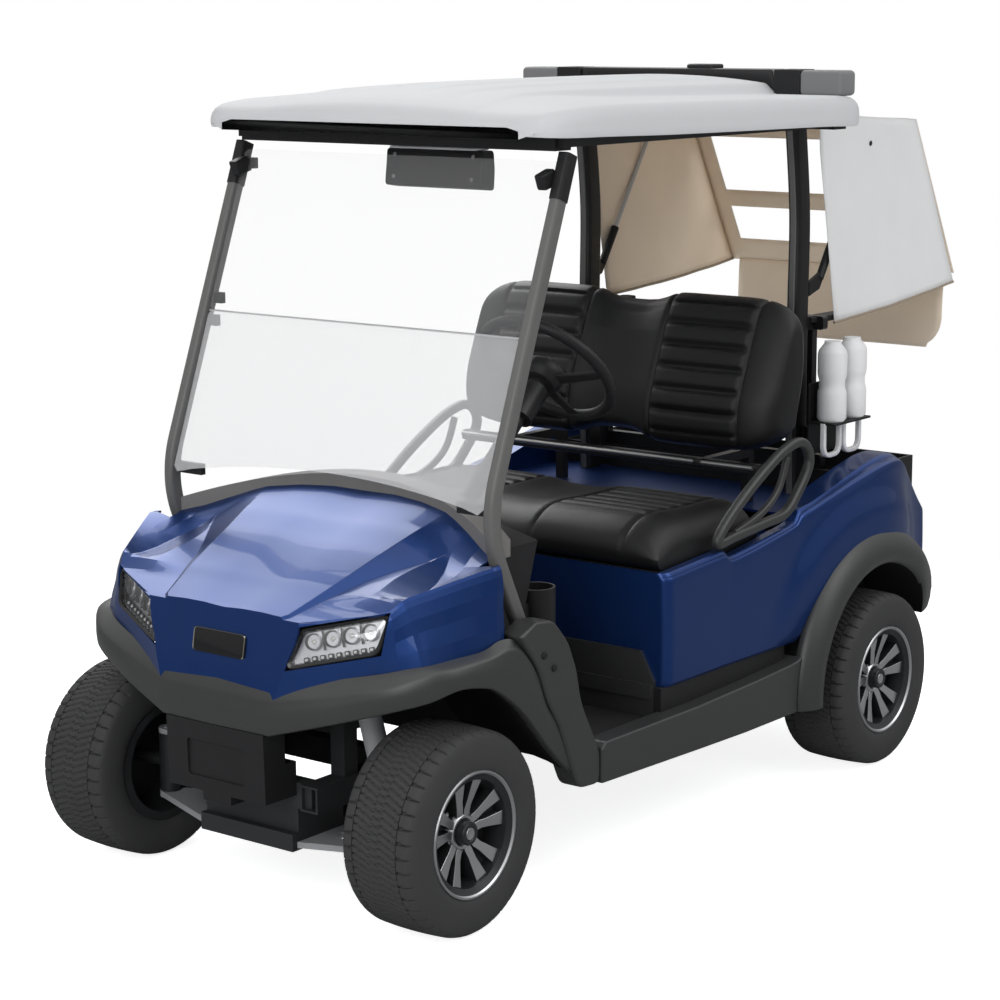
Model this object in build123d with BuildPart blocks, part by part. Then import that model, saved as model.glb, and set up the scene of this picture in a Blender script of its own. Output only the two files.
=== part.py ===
from build123d import *
from math import cos, radians, sin
import os

os.makedirs("parts", exist_ok=True)

# A two-seat electric golf cart. Millimetres, +X forward, +Y to the driver's side, +Z up.
# The origin is on the ground, under the middle of the whole vehicle.

# ---------------------------------------------------------------- driving dimensions
WHEELBASE = 1664
TYRE_R = 229.5
COVER_TAIL = 783                         # end of the bag cover behind the rear axle
AXLE_FRONT = (WHEELBASE + COVER_TAIL - TYRE_R) / 2      # x of the front axle
AXLE_REAR = AXLE_FRONT - WHEELBASE       # x of the rear axle
FRONT_TRACK = 924
REAR_TRACK = 1046
BODY_HALF = 540                          # half width of the body at the doors
FIT = 0.3                                # gap between neighbouring pieces
PIN_FIT = 0.08                           # radial clearance of a running fit

TYRE_W = 205
BEAD_R = 127                             # bead seat of a 10 inch rim
FLANGE_R = 141
RIM_HALF = 89                            # half distance between the flanges
FLANGE_T = 6
BARREL_T = 7
SPINDLE_R = 15
HUB_R = 34

STEER_X = AXLE_FRONT
KINGPIN_Y = 362
KINGPIN_R = 12
KNUCKLE_R = 24
KNUCKLE_LOW = 162
KNUCKLE_HIGH = 300
STEER_ARM = 85                           # kingpin to tie rod end
TIE_ROD_Z = 220

FRAME_Y = 190                            # centre of each frame rail
RAIL_W = 50
RAIL_LOW = 240
RAIL_HIGH = 300
RAIL_WALL = 5
FLOOR_T = 14
FLOOR_TOP = RAIL_HIGH + FIT + FLOOR_T

SEAT_FRONT = AXLE_REAR + 912             # x of the seat box front panel
DECK_Z = 650                             # top of the seat box
SEAT_HALF = 505

ROOF_HALF = 530
ROOF_FRONT = AXLE_FRONT - 310
ROOF_REAR = AXLE_REAR - 20
ROOF_LIP = 1685


def side(y):
    """XZ plane at a given y; a positive extrusion from it runs towards -Y."""
    return Plane.XZ.offset(-y)


def write(builder, label):
    builder.part.label = label
    export_step(builder.part, f"parts/{label}.step")


def outline(points):
    """A closed face of straight runs in the sketch that is open."""
    Polygon(*points, align=None)


# ---------------------------------------------------------------- wheels
WHEELS = [  # name, x, y, outboard direction
    ("fl", AXLE_FRONT, FRONT_TRACK / 2, 1),
    ("fr", AXLE_FRONT, -FRONT_TRACK / 2, -1),
    ("rl", AXLE_REAR, REAR_TRACK / 2, 1),
    ("rr", AXLE_REAR, -REAR_TRACK / 2, -1),
]
TREAD_HALF = 76
SHOULDER_DROP = 3
DISC_OUT = 66                            # outboard face of the spokes from the wheel centre
DISC_T = 16
SPOKES = 5
CAP_R = 30
POCKET_IN = 56                           # spoke pockets, near and far from the axle
POCKET_OUT = 104
CAP_OUT = 82


def wheel_plane(x, y):
    """Radial plane through the wheel centre: local x along the axle, local y up."""
    return Plane(origin=(x, y, TYRE_R), x_dir=(0, 1, 0), z_dir=(1, 0, 0))


for name, wx, wy, out in WHEELS:
    axle = Axis((wx, wy, TYRE_R), (0, 1, 0))
    half = TYRE_W / 2
    bead = RIM_HALF - 0.5
    with BuildPart() as tyre:
        with BuildSketch(wheel_plane(wx, wy)):
            with BuildLine():
                Line((-bead, BEAD_R), (bead, BEAD_R))
                Line((bead, BEAD_R), (bead, FLANGE_R + 1))
                ThreePointArc((bead, FLANGE_R + 1), (half, FLANGE_R + 40), (half - 8, TYRE_R - 15))
                ThreePointArc(
                    (half - 8, TYRE_R - 15), (half - 15, TYRE_R - 7), (TREAD_HALF, TYRE_R - SHOULDER_DROP)
                )
                ThreePointArc(
                    (TREAD_HALF, TYRE_R - SHOULDER_DROP), (0, TYRE_R), (-TREAD_HALF, TYRE_R - SHOULDER_DROP)
                )
                ThreePointArc(
                    (-TREAD_HALF, TYRE_R - SHOULDER_DROP), (15 - half, TYRE_R - 7), (8 - half, TYRE_R - 15)
                )
                ThreePointArc((8 - half, TYRE_R - 15), (-half, FLANGE_R + 40), (-bead, FLANGE_R + 1))
                Line((-bead, FLANGE_R + 1), (-bead, BEAD_R))
            make_face()
        revolve(axis=axle)
    write(tyre, f"tyre_{name}")

    with BuildPart() as rim:
        with BuildSketch(wheel_plane(wx, wy)):
            edge = RIM_HALF + FLANGE_T
            outline([
                (-edge, BEAD_R - BARREL_T), (edge, BEAD_R - BARREL_T), (edge, FLANGE_R),
                (RIM_HALF, FLANGE_R), (RIM_HALF, BEAD_R), (-RIM_HALF, BEAD_R),
                (-RIM_HALF, FLANGE_R), (-edge, FLANGE_R),
            ])
            outline([
                (out * -20, SPINDLE_R + PIN_FIT), (out * DISC_OUT, SPINDLE_R + PIN_FIT),
                (out * DISC_OUT, 0), (out * CAP_OUT, 0), (out * CAP_OUT, CAP_R),
                (out * (DISC_OUT - 4), CAP_R), (out * (DISC_OUT - 4), HUB_R + 14),
                (out * DISC_OUT, BEAD_R - BARREL_T), (out * (DISC_OUT - DISC_T), BEAD_R - BARREL_T),
                (out * (DISC_OUT - DISC_T - 6), HUB_R), (out * -20, HUB_R),
            ])
        revolve(axis=axle)
        face = Plane(origin=(wx, wy, TYRE_R), x_dir=(out, 0, 0), z_dir=(0, -out, 0))
        with BuildSketch(face.offset(-DISC_OUT - 1)) as pockets:
            with PolarLocations(0, SPOKES, start_angle=90):
                Polygon(
                    (POCKET_IN, POCKET_IN * 0.3), (POCKET_IN, POCKET_IN * -0.3),
                    (POCKET_OUT, POCKET_OUT * -0.42), (POCKET_OUT, POCKET_OUT * 0.42), align=None,
                )
            fillet(pockets.vertices(), radius=6)
            with PolarLocations(0, SPOKES, start_angle=90 + 180 / SPOKES):
                Polygon((POCKET_IN, 3), (POCKET_IN, -3), (POCKET_OUT, -9), (POCKET_OUT, 9), align=None)
        extrude(amount=DISC_T + 10, mode=Mode.SUBTRACT)
    write(rim, f"rim_{name}")

# ---------------------------------------------------------------- front suspension and steering
for label, hand in (("knuckle_left", 1), ("knuckle_right", -1)):
    ky = hand * KINGPIN_Y
    reach = FRONT_TRACK / 2 + 50 - KINGPIN_Y
    with BuildPart() as knuckle:
        with BuildSketch(Plane.XY.offset(KNUCKLE_LOW)):
            with Locations((STEER_X, ky)):
                Circle(KNUCKLE_R)
        extrude(amount=KNUCKLE_HIGH - KNUCKLE_LOW)
        with BuildSketch(Plane(origin=(STEER_X, ky, TYRE_R), z_dir=(0, hand, 0))):
            Circle(SPINDLE_R)
        extrude(amount=reach)
        with BuildSketch(Plane.XY.offset(TIE_ROD_Z - 22)):
            with Locations((STEER_X - STEER_ARM / 2, ky)):
                Rectangle(STEER_ARM, 22)
            with Locations((STEER_X - STEER_ARM, ky)):
                Circle(14)
        extrude(amount=13)
        with BuildSketch(Plane.XY.offset(KNUCKLE_LOW - 1)):
            with Locations((STEER_X, ky)):
                Circle(KINGPIN_R + PIN_FIT)
            with Locations((STEER_X - STEER_ARM, ky)):
                Circle(7 + PIN_FIT)
        extrude(amount=KNUCKLE_HIGH - KNUCKLE_LOW + 2, mode=Mode.SUBTRACT)
    write(knuckle, label)

ROD_R = 9
with BuildPart() as tie_rod:
    with BuildSketch(side(KINGPIN_Y - 10)):
        with Locations((STEER_X - STEER_ARM, TIE_ROD_Z)):
            Circle(ROD_R)
    extrude(amount=2 * (KINGPIN_Y - 10))
    for hand in (1, -1):
        with BuildSketch(Plane.XY.offset(TIE_ROD_Z - 22 + 13 + FIT)):
            with Locations((STEER_X - STEER_ARM, hand * KINGPIN_Y)):
                Circle(15)
        extrude(amount=18)
        with BuildSketch(Plane.XY.offset(TIE_ROD_Z - 26)):
            with Locations((STEER_X - STEER_ARM, hand * KINGPIN_Y)):
                Circle(7)
        extrude(amount=20)
write(tie_rod, "tie_rod")

SUBFRAME_HALF = 140
ARM_LOW = 146
ARM_T = 14
SHOCK_R = 27
SHOCK_IN = 300                           # y of the shock's lower seat
SHOCK_TOP_IN = 240
SHOCK_TOP = 520
with BuildPart() as suspension:
    for hand in (1, -1):
        inner = hand * (SUBFRAME_HALF + FIT)
        with BuildSketch(Plane.XY.offset(ARM_LOW)):
            outline([
                (STEER_X + 110, inner), (STEER_X + 25, hand * KINGPIN_Y),
                (STEER_X - 25, hand * KINGPIN_Y), (STEER_X - 110, inner),
            ])
            with Locations((STEER_X, hand * KINGPIN_Y)):
                Circle(25)
            with Locations((STEER_X, hand * 205)):
                Circle(32, mode=Mode.SUBTRACT)
        extrude(amount=ARM_T)
        with BuildSketch(Plane.XY.offset(ARM_LOW)):
            with Locations((STEER_X, hand * KINGPIN_Y)):
                Circle(KINGPIN_R)
        extrude(amount=KNUCKLE_HIGH + 16 - ARM_LOW)
        with BuildSketch(Plane.XY.offset(KNUCKLE_HIGH + 2)):
            with Locations((STEER_X, hand * KINGPIN_Y)):
                Circle(24)
            with Locations((STEER_X, hand * (KINGPIN_Y + SHOCK_IN - 24) / 2)):
                Rectangle(48, KINGPIN_Y - SHOCK_IN + 24)
        extrude(amount=12)
        rise = SHOCK_TOP - FIT - (KNUCKLE_HIGH + 14)
        lean = hand * (SHOCK_TOP_IN - SHOCK_IN)
        with BuildSketch(Plane.XY.offset(KNUCKLE_HIGH + 14)):
            with Locations((STEER_X, hand * SHOCK_IN)):
                Circle(SHOCK_R)
        with BuildSketch(Plane.XY.offset(KNUCKLE_HIGH + 14 + rise)):
            with Locations((STEER_X, hand * SHOCK_IN + lean)):
                Circle(SHOCK_R)
        loft()
write(suspension, "front_suspension")

# ---------------------------------------------------------------- chassis frame
KICK_UP = 95                             # rise of the rails over the rear axle
RAIL_FRONT = AXLE_FRONT + 125
RAIL_REAR = AXLE_REAR - 385
RAIL_SIDE = [
    (RAIL_FRONT, RAIL_LOW), (RAIL_FRONT, RAIL_HIGH), (AXLE_REAR + 330, RAIL_HIGH),
    (AXLE_REAR + 235, RAIL_HIGH + KICK_UP), (RAIL_REAR, RAIL_HIGH + KICK_UP),
    (RAIL_REAR, RAIL_LOW + KICK_UP), (AXLE_REAR + 215, RAIL_LOW + KICK_UP),
    (AXLE_REAR + 310, RAIL_LOW),
]
CROSSMEMBERS = [  # x, rise above the front rails
    (AXLE_FRONT + 95, 0),
    (AXLE_FRONT - 200, 0),
    (SEAT_FRONT - 40, 0),
    (AXLE_REAR + 180, KICK_UP),
    (AXLE_REAR - 330, KICK_UP),
]
with BuildPart() as frame:
    for hand in (1, -1):
        with BuildSketch(side(hand * FRAME_Y + RAIL_W / 2)):
            outline(RAIL_SIDE)
        extrude(amount=RAIL_W)
        for x0, length, rise in (
            (RAIL_FRONT - 400, 401, 0), (RAIL_REAR - 1, 401, KICK_UP),
        ):
            with BuildSketch(Plane.YZ.offset(x0)):
                with Locations((hand * FRAME_Y, (RAIL_LOW + RAIL_HIGH) / 2 + rise)):
                    Rectangle(RAIL_W - 2 * RAIL_WALL, RAIL_HIGH - RAIL_LOW - 2 * RAIL_WALL)
            extrude(amount=length, mode=Mode.SUBTRACT)
    for x, rise in CROSSMEMBERS:
        with BuildSketch(side(FRAME_Y)):
            with Locations((x, (RAIL_LOW + RAIL_HIGH) / 2 + rise)):
                Rectangle(40, RAIL_HIGH - RAIL_LOW)
        extrude(amount=2 * FRAME_Y)
    with BuildSketch(Plane.XY.offset(ARM_LOW - 6)):
        with Locations((AXLE_FRONT, 0)):
            Rectangle(250, 2 * SUBFRAME_HALF)
    extrude(amount=40)
    with BuildSketch(Plane.XY.offset(ARM_LOW + 30)):
        with Locations((AXLE_FRONT + 30, 0)):
            Rectangle(150, 2 * SUBFRAME_HALF)
    extrude(amount=RAIL_LOW - ARM_LOW - 30)
    with BuildSketch(Plane.XY.offset(RAIL_LOW)):
        with Locations((AXLE_FRONT + 30, 0)):
            Rectangle(150, 2 * FRAME_Y)
    extrude(amount=RAIL_WALL + 3)
    for hand in (1, -1):
        with BuildSketch(side(hand * 185 + 20)):
            with Locations((AXLE_FRONT, (RAIL_HIGH + SHOCK_TOP) / 2)):
                Rectangle(44, SHOCK_TOP - RAIL_HIGH)
        extrude(amount=40)
    with BuildSketch(Plane.XY.offset(SHOCK_TOP)):
        with Locations((AXLE_FRONT, 0)):
            Rectangle(60, 2 * (SHOCK_TOP_IN + 30))
    extrude(amount=14)
write(frame, "frame")

# ---------------------------------------------------------------- rear axle, springs, batteries
AXLE_TUBE_R = 36
DIFF_R = 88
REAR_AXLE_END = REAR_TRACK / 2 - 30
with BuildPart() as axle:
    with BuildSketch(side(REAR_AXLE_END)):
        with Locations((AXLE_REAR, TYRE_R)):
            Circle(AXLE_TUBE_R)
    extrude(amount=2 * REAR_AXLE_END)
    with BuildSketch(side(REAR_TRACK / 2 + 50)):
        with Locations((AXLE_REAR, TYRE_R)):
            Circle(SPINDLE_R)
    extrude(amount=REAR_TRACK + 100)
    with BuildSketch(side(60)):
        with Locations((AXLE_REAR, TYRE_R)):
            Circle(DIFF_R)
    extrude(amount=120)
    with BuildSketch(side(110)):
        with Locations((AXLE_REAR - 150, TYRE_R + 20)):
            Circle(84)
    extrude(amount=250)
write(axle, "rear_axle")

SPRING_Y = FRAME_Y + 70
with BuildPart() as springs:
    for hand in (1, -1):
        with BuildSketch(side(hand * SPRING_Y + 25)):
            with BuildLine():
                low = TYRE_R + AXLE_TUBE_R + FIT
                Line((AXLE_REAR - 300, low + 60), (AXLE_REAR - 300, low + 74))
                ThreePointArc((AXLE_REAR - 300, low + 74), (AXLE_REAR, low + 22), (AXLE_REAR + 300, low + 74))
                Line((AXLE_REAR + 300, low + 74), (AXLE_REAR + 300, low + 60))
                ThreePointArc((AXLE_REAR + 300, low + 60), (AXLE_REAR, low), (AXLE_REAR - 300, low + 60))
            make_face()
        extrude(amount=50)
        for end in (-1, 1):
            with BuildSketch(side(hand * (SPRING_Y - 5) + 40)):
                with Locations((AXLE_REAR + end * 290, low + 67)):
                    Circle(14)
            extrude(amount=80)
write(springs, "rear_springs")

with BuildPart() as batteries:
    with BuildSketch(Plane.XY.offset(RAIL_HIGH + FIT)):
        with Locations((AXLE_REAR + 612, 0)):
            Rectangle(500, 640)
    extrude(amount=270)
write(batteries, "battery_pack")

# ---------------------------------------------------------------- floor, sills, foot covers
FLOOR_FRONT = AXLE_FRONT - 362
TOE_FRONT = AXLE_FRONT - 234             # top of the sloping toe board
TOE_TOP = 590
COVER_REAR = AXLE_FRONT - 446            # where a foot cover meets the sill
SILL_IN = 515
SILL_OUT = 572
STRUT_Y = 489
STRUT_W = 35
STRUT_D = 42
TOE_HALF = STRUT_Y - STRUT_W / 2 - 2
with BuildPart() as floor:
    with BuildSketch(Plane.XY.offset(RAIL_HIGH + FIT)):
        outline([
            (SEAT_FRONT - 30, SILL_IN - FIT), (COVER_REAR, SILL_IN - FIT), (COVER_REAR, TOE_HALF),
            (FLOOR_FRONT, TOE_HALF), (FLOOR_FRONT, -TOE_HALF), (COVER_REAR, -TOE_HALF),
            (COVER_REAR, FIT - SILL_IN), (SEAT_FRONT - 30, FIT - SILL_IN),
        ])
    extrude(amount=FLOOR_T)
    with BuildSketch(side(TOE_HALF)):
        low = RAIL_HIGH + FIT
        outline([
            (FLOOR_FRONT - 14, low), (FLOOR_FRONT, low), (TOE_FRONT + 12, TOE_TOP),
            (TOE_FRONT, TOE_TOP), (FLOOR_FRONT - 14, low + 20),
        ])
    extrude(amount=2 * TOE_HALF)
write(floor, "floor_pan")

ARCH_X = AXLE_REAR - 10                  # centre of the rear wheel arch
ARCH_Z = 235
ARCH_R = 300
FLARE_R = 390
SILL_SIDE = [
    (COVER_REAR - FIT, 236), (COVER_REAR - FIT, 312), (AXLE_REAR + 811, 334), (AXLE_REAR + 300, 342),
    (AXLE_REAR + 300, 214), (AXLE_REAR + 603, 216), (AXLE_REAR + 811, 222),
]
with BuildPart() as sills:
    for hand in (1, -1):
        with BuildSketch(side(max(hand * SILL_IN, hand * SILL_OUT))):
            outline(SILL_SIDE)
        extrude(amount=SILL_OUT - SILL_IN)
    with BuildSketch(side(SILL_OUT)):
        with Locations((ARCH_X, ARCH_Z)):
            Circle(FLARE_R + 1)
    extrude(amount=2 * SILL_OUT, mode=Mode.SUBTRACT)
write(sills, "sills")

FOOT_IN = STRUT_Y + STRUT_W / 2 + FIT
FOOT_OUT = 568
FOOT_SIDE = [
    (AXLE_FRONT - 146, 640), (AXLE_FRONT - 218, 551), (AXLE_FRONT - 250, 471),
    (AXLE_FRONT - 294, 404), (AXLE_FRONT - 343, 288), (AXLE_FRONT - 366, 243), (COVER_REAR, 237),
    (COVER_REAR, 312), (AXLE_FRONT - 374, 445), (AXLE_FRONT - 357, 522), (AXLE_FRONT - 326, 592),
    (AXLE_FRONT - 270, 653), (AXLE_FRONT - 205, 662),
]
with BuildPart() as covers:
    for hand in (1, -1):
        with BuildSketch(side(max(hand * FOOT_IN, hand * FOOT_OUT))):
            outline(FOOT_SIDE)
        extrude(amount=FOOT_OUT - FOOT_IN)
write(covers, "foot_covers")

# ---------------------------------------------------------------- front cowl
COWL_WALL = 6
NOSE_LEAN = 0.172                        # nose face: x lost per height gained
NOSE_X = AXLE_FRONT + 207                # nose face at NOSE_Z
NOSE_Z = 534
COWL = [  # x from the front axle, hood middle z, shoulder y, shoulder z, side y, side z
    (213, 676, 150, 672, 165, 508),
    (103, 718, 400, 713, 425, 585),
    (69, 733, 422, 742, 478, 600),
    (-114, 803, 520, 791, 530, 612),
    (-320, 880, 532, 800, 538, 612),
]
LAMP_T = Vector(-79.5, 200.5, 48).normalized()      # along the left lamp, outwards
LAMP_N = Vector(0.9215, 0.309, 0.2345).normalized() # out of the left lamp's glass
LAMP_AT = (AXLE_FRONT + 143, 299, 645)
LAMP_L = 221
LAMP_H = 85
LAMP_SKEW = 19


def lamp_plane(hand, depth):
    """Plane of a headlamp's glass, moved inwards by depth."""
    at = Vector(LAMP_AT[0], LAMP_AT[1] * hand, LAMP_AT[2])
    along = Vector(LAMP_T.X, LAMP_T.Y * hand, LAMP_T.Z)
    normal = Vector(LAMP_N.X, LAMP_N.Y * hand, LAMP_N.Z)
    return Plane(origin=at - normal * depth, x_dir=along, z_dir=normal)


def lamp_outline(hand, grow):
    """The lamp's leaning four-sided outline, grown by grow all round."""
    along = LAMP_L / 2 + grow
    up = LAMP_H / 2 + grow
    corners = [
        (-along - LAMP_SKEW, -up), (along - LAMP_SKEW, -up), (along + LAMP_SKEW, up),
        (-along + LAMP_SKEW, up),
    ]
    outline([(a, b * hand) for a, b in corners])


STRUT_PATH = [  # front strut, (x, z) of its foot, its bend and its top
    (AXLE_FRONT - 394, 345), (AXLE_FRONT - 135, 868), (AXLE_FRONT - 434, 1654.3),
]
HOOD_REAR = AXLE_FRONT - 301             # rear edge of the hood on the centre line
HOOD_SWEEP = 195                         # how far that edge runs forward at its ends
CLEAR = 2

with BuildPart() as cowl:
    for inset, drop, mode in ((0, 0, Mode.ADD), (COWL_WALL, 60, Mode.SUBTRACT)):
        with BuildPart(mode=Mode.PRIVATE) as shape:
            for dx, mid, shoulder, shoulder_z, flank, flank_z in COWL:
                with BuildSketch(Plane.YZ.offset(AXLE_FRONT + dx)):
                    crown = mid + 2 - inset
                    outline([
                        (inset - flank, flank_z - drop), (inset - shoulder, shoulder_z - inset),
                        (-0.55 * shoulder, crown), (0, mid - inset), (0.55 * shoulder, crown),
                        (shoulder - inset, shoulder_z - inset), (flank - inset, flank_z - drop),
                    ])
            loft(ruled=True)
            nose = Plane(
                origin=(NOSE_X - inset, 0, NOSE_Z), x_dir=(0, 1, 0), z_dir=(1, 0, NOSE_LEAN)
            )
            split(bisect_by=nose, keep=Keep.BOTTOM)
        add(shape.part, mode=mode)
    with BuildSketch(Plane.XY.offset(400)):
        with BuildLine():
            Line((HOOD_REAR + HOOD_SWEEP, -BODY_HALF - 20), (HOOD_REAR - 200, -BODY_HALF - 20))
            Line((HOOD_REAR - 200, -BODY_HALF - 20), (HOOD_REAR - 200, BODY_HALF + 20))
            Line((HOOD_REAR - 200, BODY_HALF + 20), (HOOD_REAR + HOOD_SWEEP, BODY_HALF + 20))
            ThreePointArc(
                (HOOD_REAR + HOOD_SWEEP, BODY_HALF + 20), (HOOD_REAR, 0),
                (HOOD_REAR + HOOD_SWEEP, -BODY_HALF - 20),
            )
        make_face()
    extrude(amount=600, mode=Mode.SUBTRACT)
    for hand in (1, -1):
        with BuildSketch(lamp_plane(hand, 90)):
            lamp_outline(hand, 1)
        extrude(amount=180, mode=Mode.SUBTRACT)
        with BuildSketch(Plane.XY.offset(600)):
            with Locations((AXLE_FRONT - 228, hand * STRUT_Y)):
                Rectangle(200, STRUT_W + 2 * CLEAR)
        extrude(amount=400, mode=Mode.SUBTRACT)
write(cowl, "front_cowl")

with BuildPart() as housings:
    for hand in (1, -1):
        with BuildSketch(lamp_plane(hand, 55)):
            lamp_outline(hand, 0)
        extrude(amount=47)
        with BuildSketch(lamp_plane(hand, 49)):
            lamp_outline(hand, -6)
        extrude(amount=50, mode=Mode.SUBTRACT)
write(housings, "headlamp_housings")

with BuildPart() as lenses:
    for hand in (1, -1):
        with BuildSketch(lamp_plane(hand, 8 - FIT)):
            lamp_outline(hand, 0)
        extrude(amount=6)
write(lenses, "headlamp_lenses")

PLATE_W = 156
PLATE_H = 54
PLATE_Z = 610
with BuildPart() as plate:
    face = Plane(
        origin=(NOSE_X - (PLATE_Z - NOSE_Z) * NOSE_LEAN, 0, PLATE_Z), x_dir=(0, 1, 0),
        z_dir=(1, 0, NOSE_LEAN),
    )
    with BuildSketch(face.offset(FIT)):
        RectangleRounded(PLATE_W, PLATE_H, 10)
    extrude(amount=5)
write(plate, "nose_plate")

BAND_PLAN = [  # outer edge of the bumper band, x from the front axle and y
    (218, 0), (217, 158), (180, 304), (131, 442), (85, 504), (34, 540), (-32, 552), (-150, 558),
    (-400, 558),
]
BAND_IN = [  # inner edge, following the cowl
    (-400, 540), (-114, 532), (69, 480), (103, 427), (207, 182), (207, 0),
]
BAND_SIDE = [  # the band seen from the side, x from the front axle and z
    (240, 430), (217, 430), (174, 475), (128, 514), (83, 532), (34, 553), (-60, 540), (-142, 487),
    (-246, 380), (-342, 290), (-293, 404), (-249, 471), (-213, 551), (-130, 646), (83, 634),
    (133, 598), (172, 557), (204, 508), (217, 503), (240, 503),
]
with BuildPart() as band:
    with BuildSketch(Plane.XY.offset(200)):
        half_plan = [(AXLE_FRONT + a, b) for a, b in BAND_PLAN + BAND_IN]
        outline(half_plan)
        mirror(about=Plane.XZ)
    extrude(amount=600)
    with BuildSketch(side(BODY_HALF + 60)):
        outline([(AXLE_FRONT + a, b) for a, b in BAND_SIDE])
    extrude(amount=2 * BODY_HALF + 120, mode=Mode.INTERSECT)
write(band, "front_fender")

BOX_HALF = 146
TOW_X = AXLE_FRONT + 185
TOW_R = 10
with BuildPart() as bumper:
    with BuildSketch(side(BOX_HALF)):
        outline([
            (AXLE_FRONT + 150, 271), (AXLE_FRONT + 215, 271), (AXLE_FRONT + 220, 430 - FIT),
            (AXLE_FRONT + 150, 430 - FIT),
        ])
    extrude(amount=2 * BOX_HALF)
    with BuildSketch(Plane.YZ.offset(AXLE_FRONT + 212)):
        with Locations((0, 345)):
            RectangleRounded(170, 84, 8)
    extrude(amount=20, mode=Mode.SUBTRACT)
    with BuildSketch(Plane.YZ.offset(AXLE_FRONT + 115 + FIT)):
        with Locations((0, 310)):
            Rectangle(2 * BOX_HALF, 78)
    extrude(amount=35 - FIT)
    with BuildSketch(Plane.XY.offset(251)):
        with Locations((TOW_X, 0)):
            Rectangle(60, 84)
            Circle(TOW_R, mode=Mode.SUBTRACT)
    extrude(amount=20)
write(bumper, "bumper_box")

# ---------------------------------------------------------------- brow and dashboard
WHEEL_AT = (AXLE_FRONT - 652, 262, 1140)  # middle of the steering wheel
WHEEL_TILT = radians(42)                 # column above the horizontal
COLUMN = Vector(cos(WHEEL_TILT), 0, -sin(WHEEL_TILT))   # down the column
COLUMN_R = 19
BROW_T = 38
BROW_DEPTH = 70
BROW_HALF = TOE_HALF
ARCH_TOP = [  # the brow seen from the front, y and z
    (BROW_HALF, 826), (300, 884), (0, 908),
]
with BuildPart() as brow:
    with BuildSketch(Plane.YZ.offset(HOOD_REAR - 200)):
        with BuildLine():
            (ye, ze), (ym, zm), (yc, zc) = ARCH_TOP
            ThreePointArc((-ye, ze), (yc, zc), (ye, ze))
            Line((ye, ze), (ye, ze - BROW_T))
            ThreePointArc((ye, ze - BROW_T), (yc, zc - BROW_T), (-ye, ze - BROW_T))
            Line((-ye, ze - BROW_T), (-ye, ze))
        make_face()
    extrude(amount=500)
    with BuildSketch(Plane.XY.offset(700)):
        with BuildLine():
            e0 = BODY_HALF + 20
            front = ThreePointArc(
                (HOOD_REAR + HOOD_SWEEP - FIT, -e0), (HOOD_REAR - FIT, 0), (HOOD_REAR + HOOD_SWEEP - FIT, e0)
            )
            Line((HOOD_REAR + HOOD_SWEEP - FIT, e0), (HOOD_REAR + HOOD_SWEEP - BROW_DEPTH, e0))
            ThreePointArc(
                (HOOD_REAR + HOOD_SWEEP - BROW_DEPTH, e0), (HOOD_REAR - BROW_DEPTH, 0),
                (HOOD_REAR + HOOD_SWEEP - BROW_DEPTH, -e0),
            )
            Line((HOOD_REAR + HOOD_SWEEP - BROW_DEPTH, -e0), (HOOD_REAR + HOOD_SWEEP - FIT, -e0))
        make_face()
    extrude(amount=300, mode=Mode.INTERSECT)
    with BuildSketch(Plane(origin=Vector(*WHEEL_AT), z_dir=COLUMN)):
        Circle(COLUMN_R + FIT)
    extrude(amount=900, mode=Mode.SUBTRACT)
write(brow, "cowl_brow")

DASH_HALF = 440
CUP_X = AXLE_FRONT - 397
CUP_Y = 420
CUP_R = 40
CUP_LOW = 596
with BuildPart() as dash:
    with BuildSketch(side(DASH_HALF)):
        outline([
            (AXLE_FRONT - 290, 846), (AXLE_FRONT - 362, 838), (AXLE_FRONT - 378, 800),
            (AXLE_FRONT - 330, 650), (AXLE_FRONT - 272, 592), (AXLE_FRONT - 212, 592),
            (AXLE_FRONT - 200, 700),
        ])
    extrude(amount=2 * DASH_HALF)
    with BuildSketch(Plane.YZ.offset(AXLE_FRONT - 500)):
        with BuildLine():
            Line((-ye, 500), (-ye, ze - BROW_T - 1))
            ThreePointArc((-ye, ze - BROW_T - 1), (0, zc - BROW_T - 1), (ye, ze - BROW_T - 1))
            Line((ye, ze - BROW_T - 1), (ye, 500))
            Line((ye, 500), (-ye, 500))
        make_face()
    extrude(amount=500, mode=Mode.INTERSECT)
    for y, width in ((120, 120), (-60, 150), (-220, 130), (-365, 120)):
        with BuildSketch(Plane.YZ.offset(AXLE_FRONT - 400)):
            with Locations((y, 748)):
                RectangleRounded(width, 84, 12)
        extrude(amount=150, mode=Mode.SUBTRACT)
    for hand in (1, -1):
        with BuildSketch(Plane.XY.offset(CUP_LOW)):
            with Locations((CUP_X, hand * CUP_Y)):
                Circle(CUP_R + 5)
            with Locations(((CUP_X + AXLE_FRONT - 290) / 2, hand * CUP_Y)):
                Rectangle(AXLE_FRONT - 290 - CUP_X, 24)
        extrude(amount=60)
        with BuildSketch(Plane.XY.offset(CUP_LOW)):
            with Locations((CUP_X, hand * CUP_Y)):
                Circle(CUP_R + 5)
        extrude(amount=90)
        with BuildSketch(Plane.XY.offset(CUP_LOW + 5)):
            with Locations((CUP_X, hand * CUP_Y)):
                Circle(CUP_R)
        extrude(amount=90, mode=Mode.SUBTRACT)
    with BuildSketch(Plane(origin=Vector(*WHEEL_AT), z_dir=COLUMN)):
        Circle(COLUMN_R + FIT)
    extrude(amount=900, mode=Mode.SUBTRACT)
write(dash, "dashboard")

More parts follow.
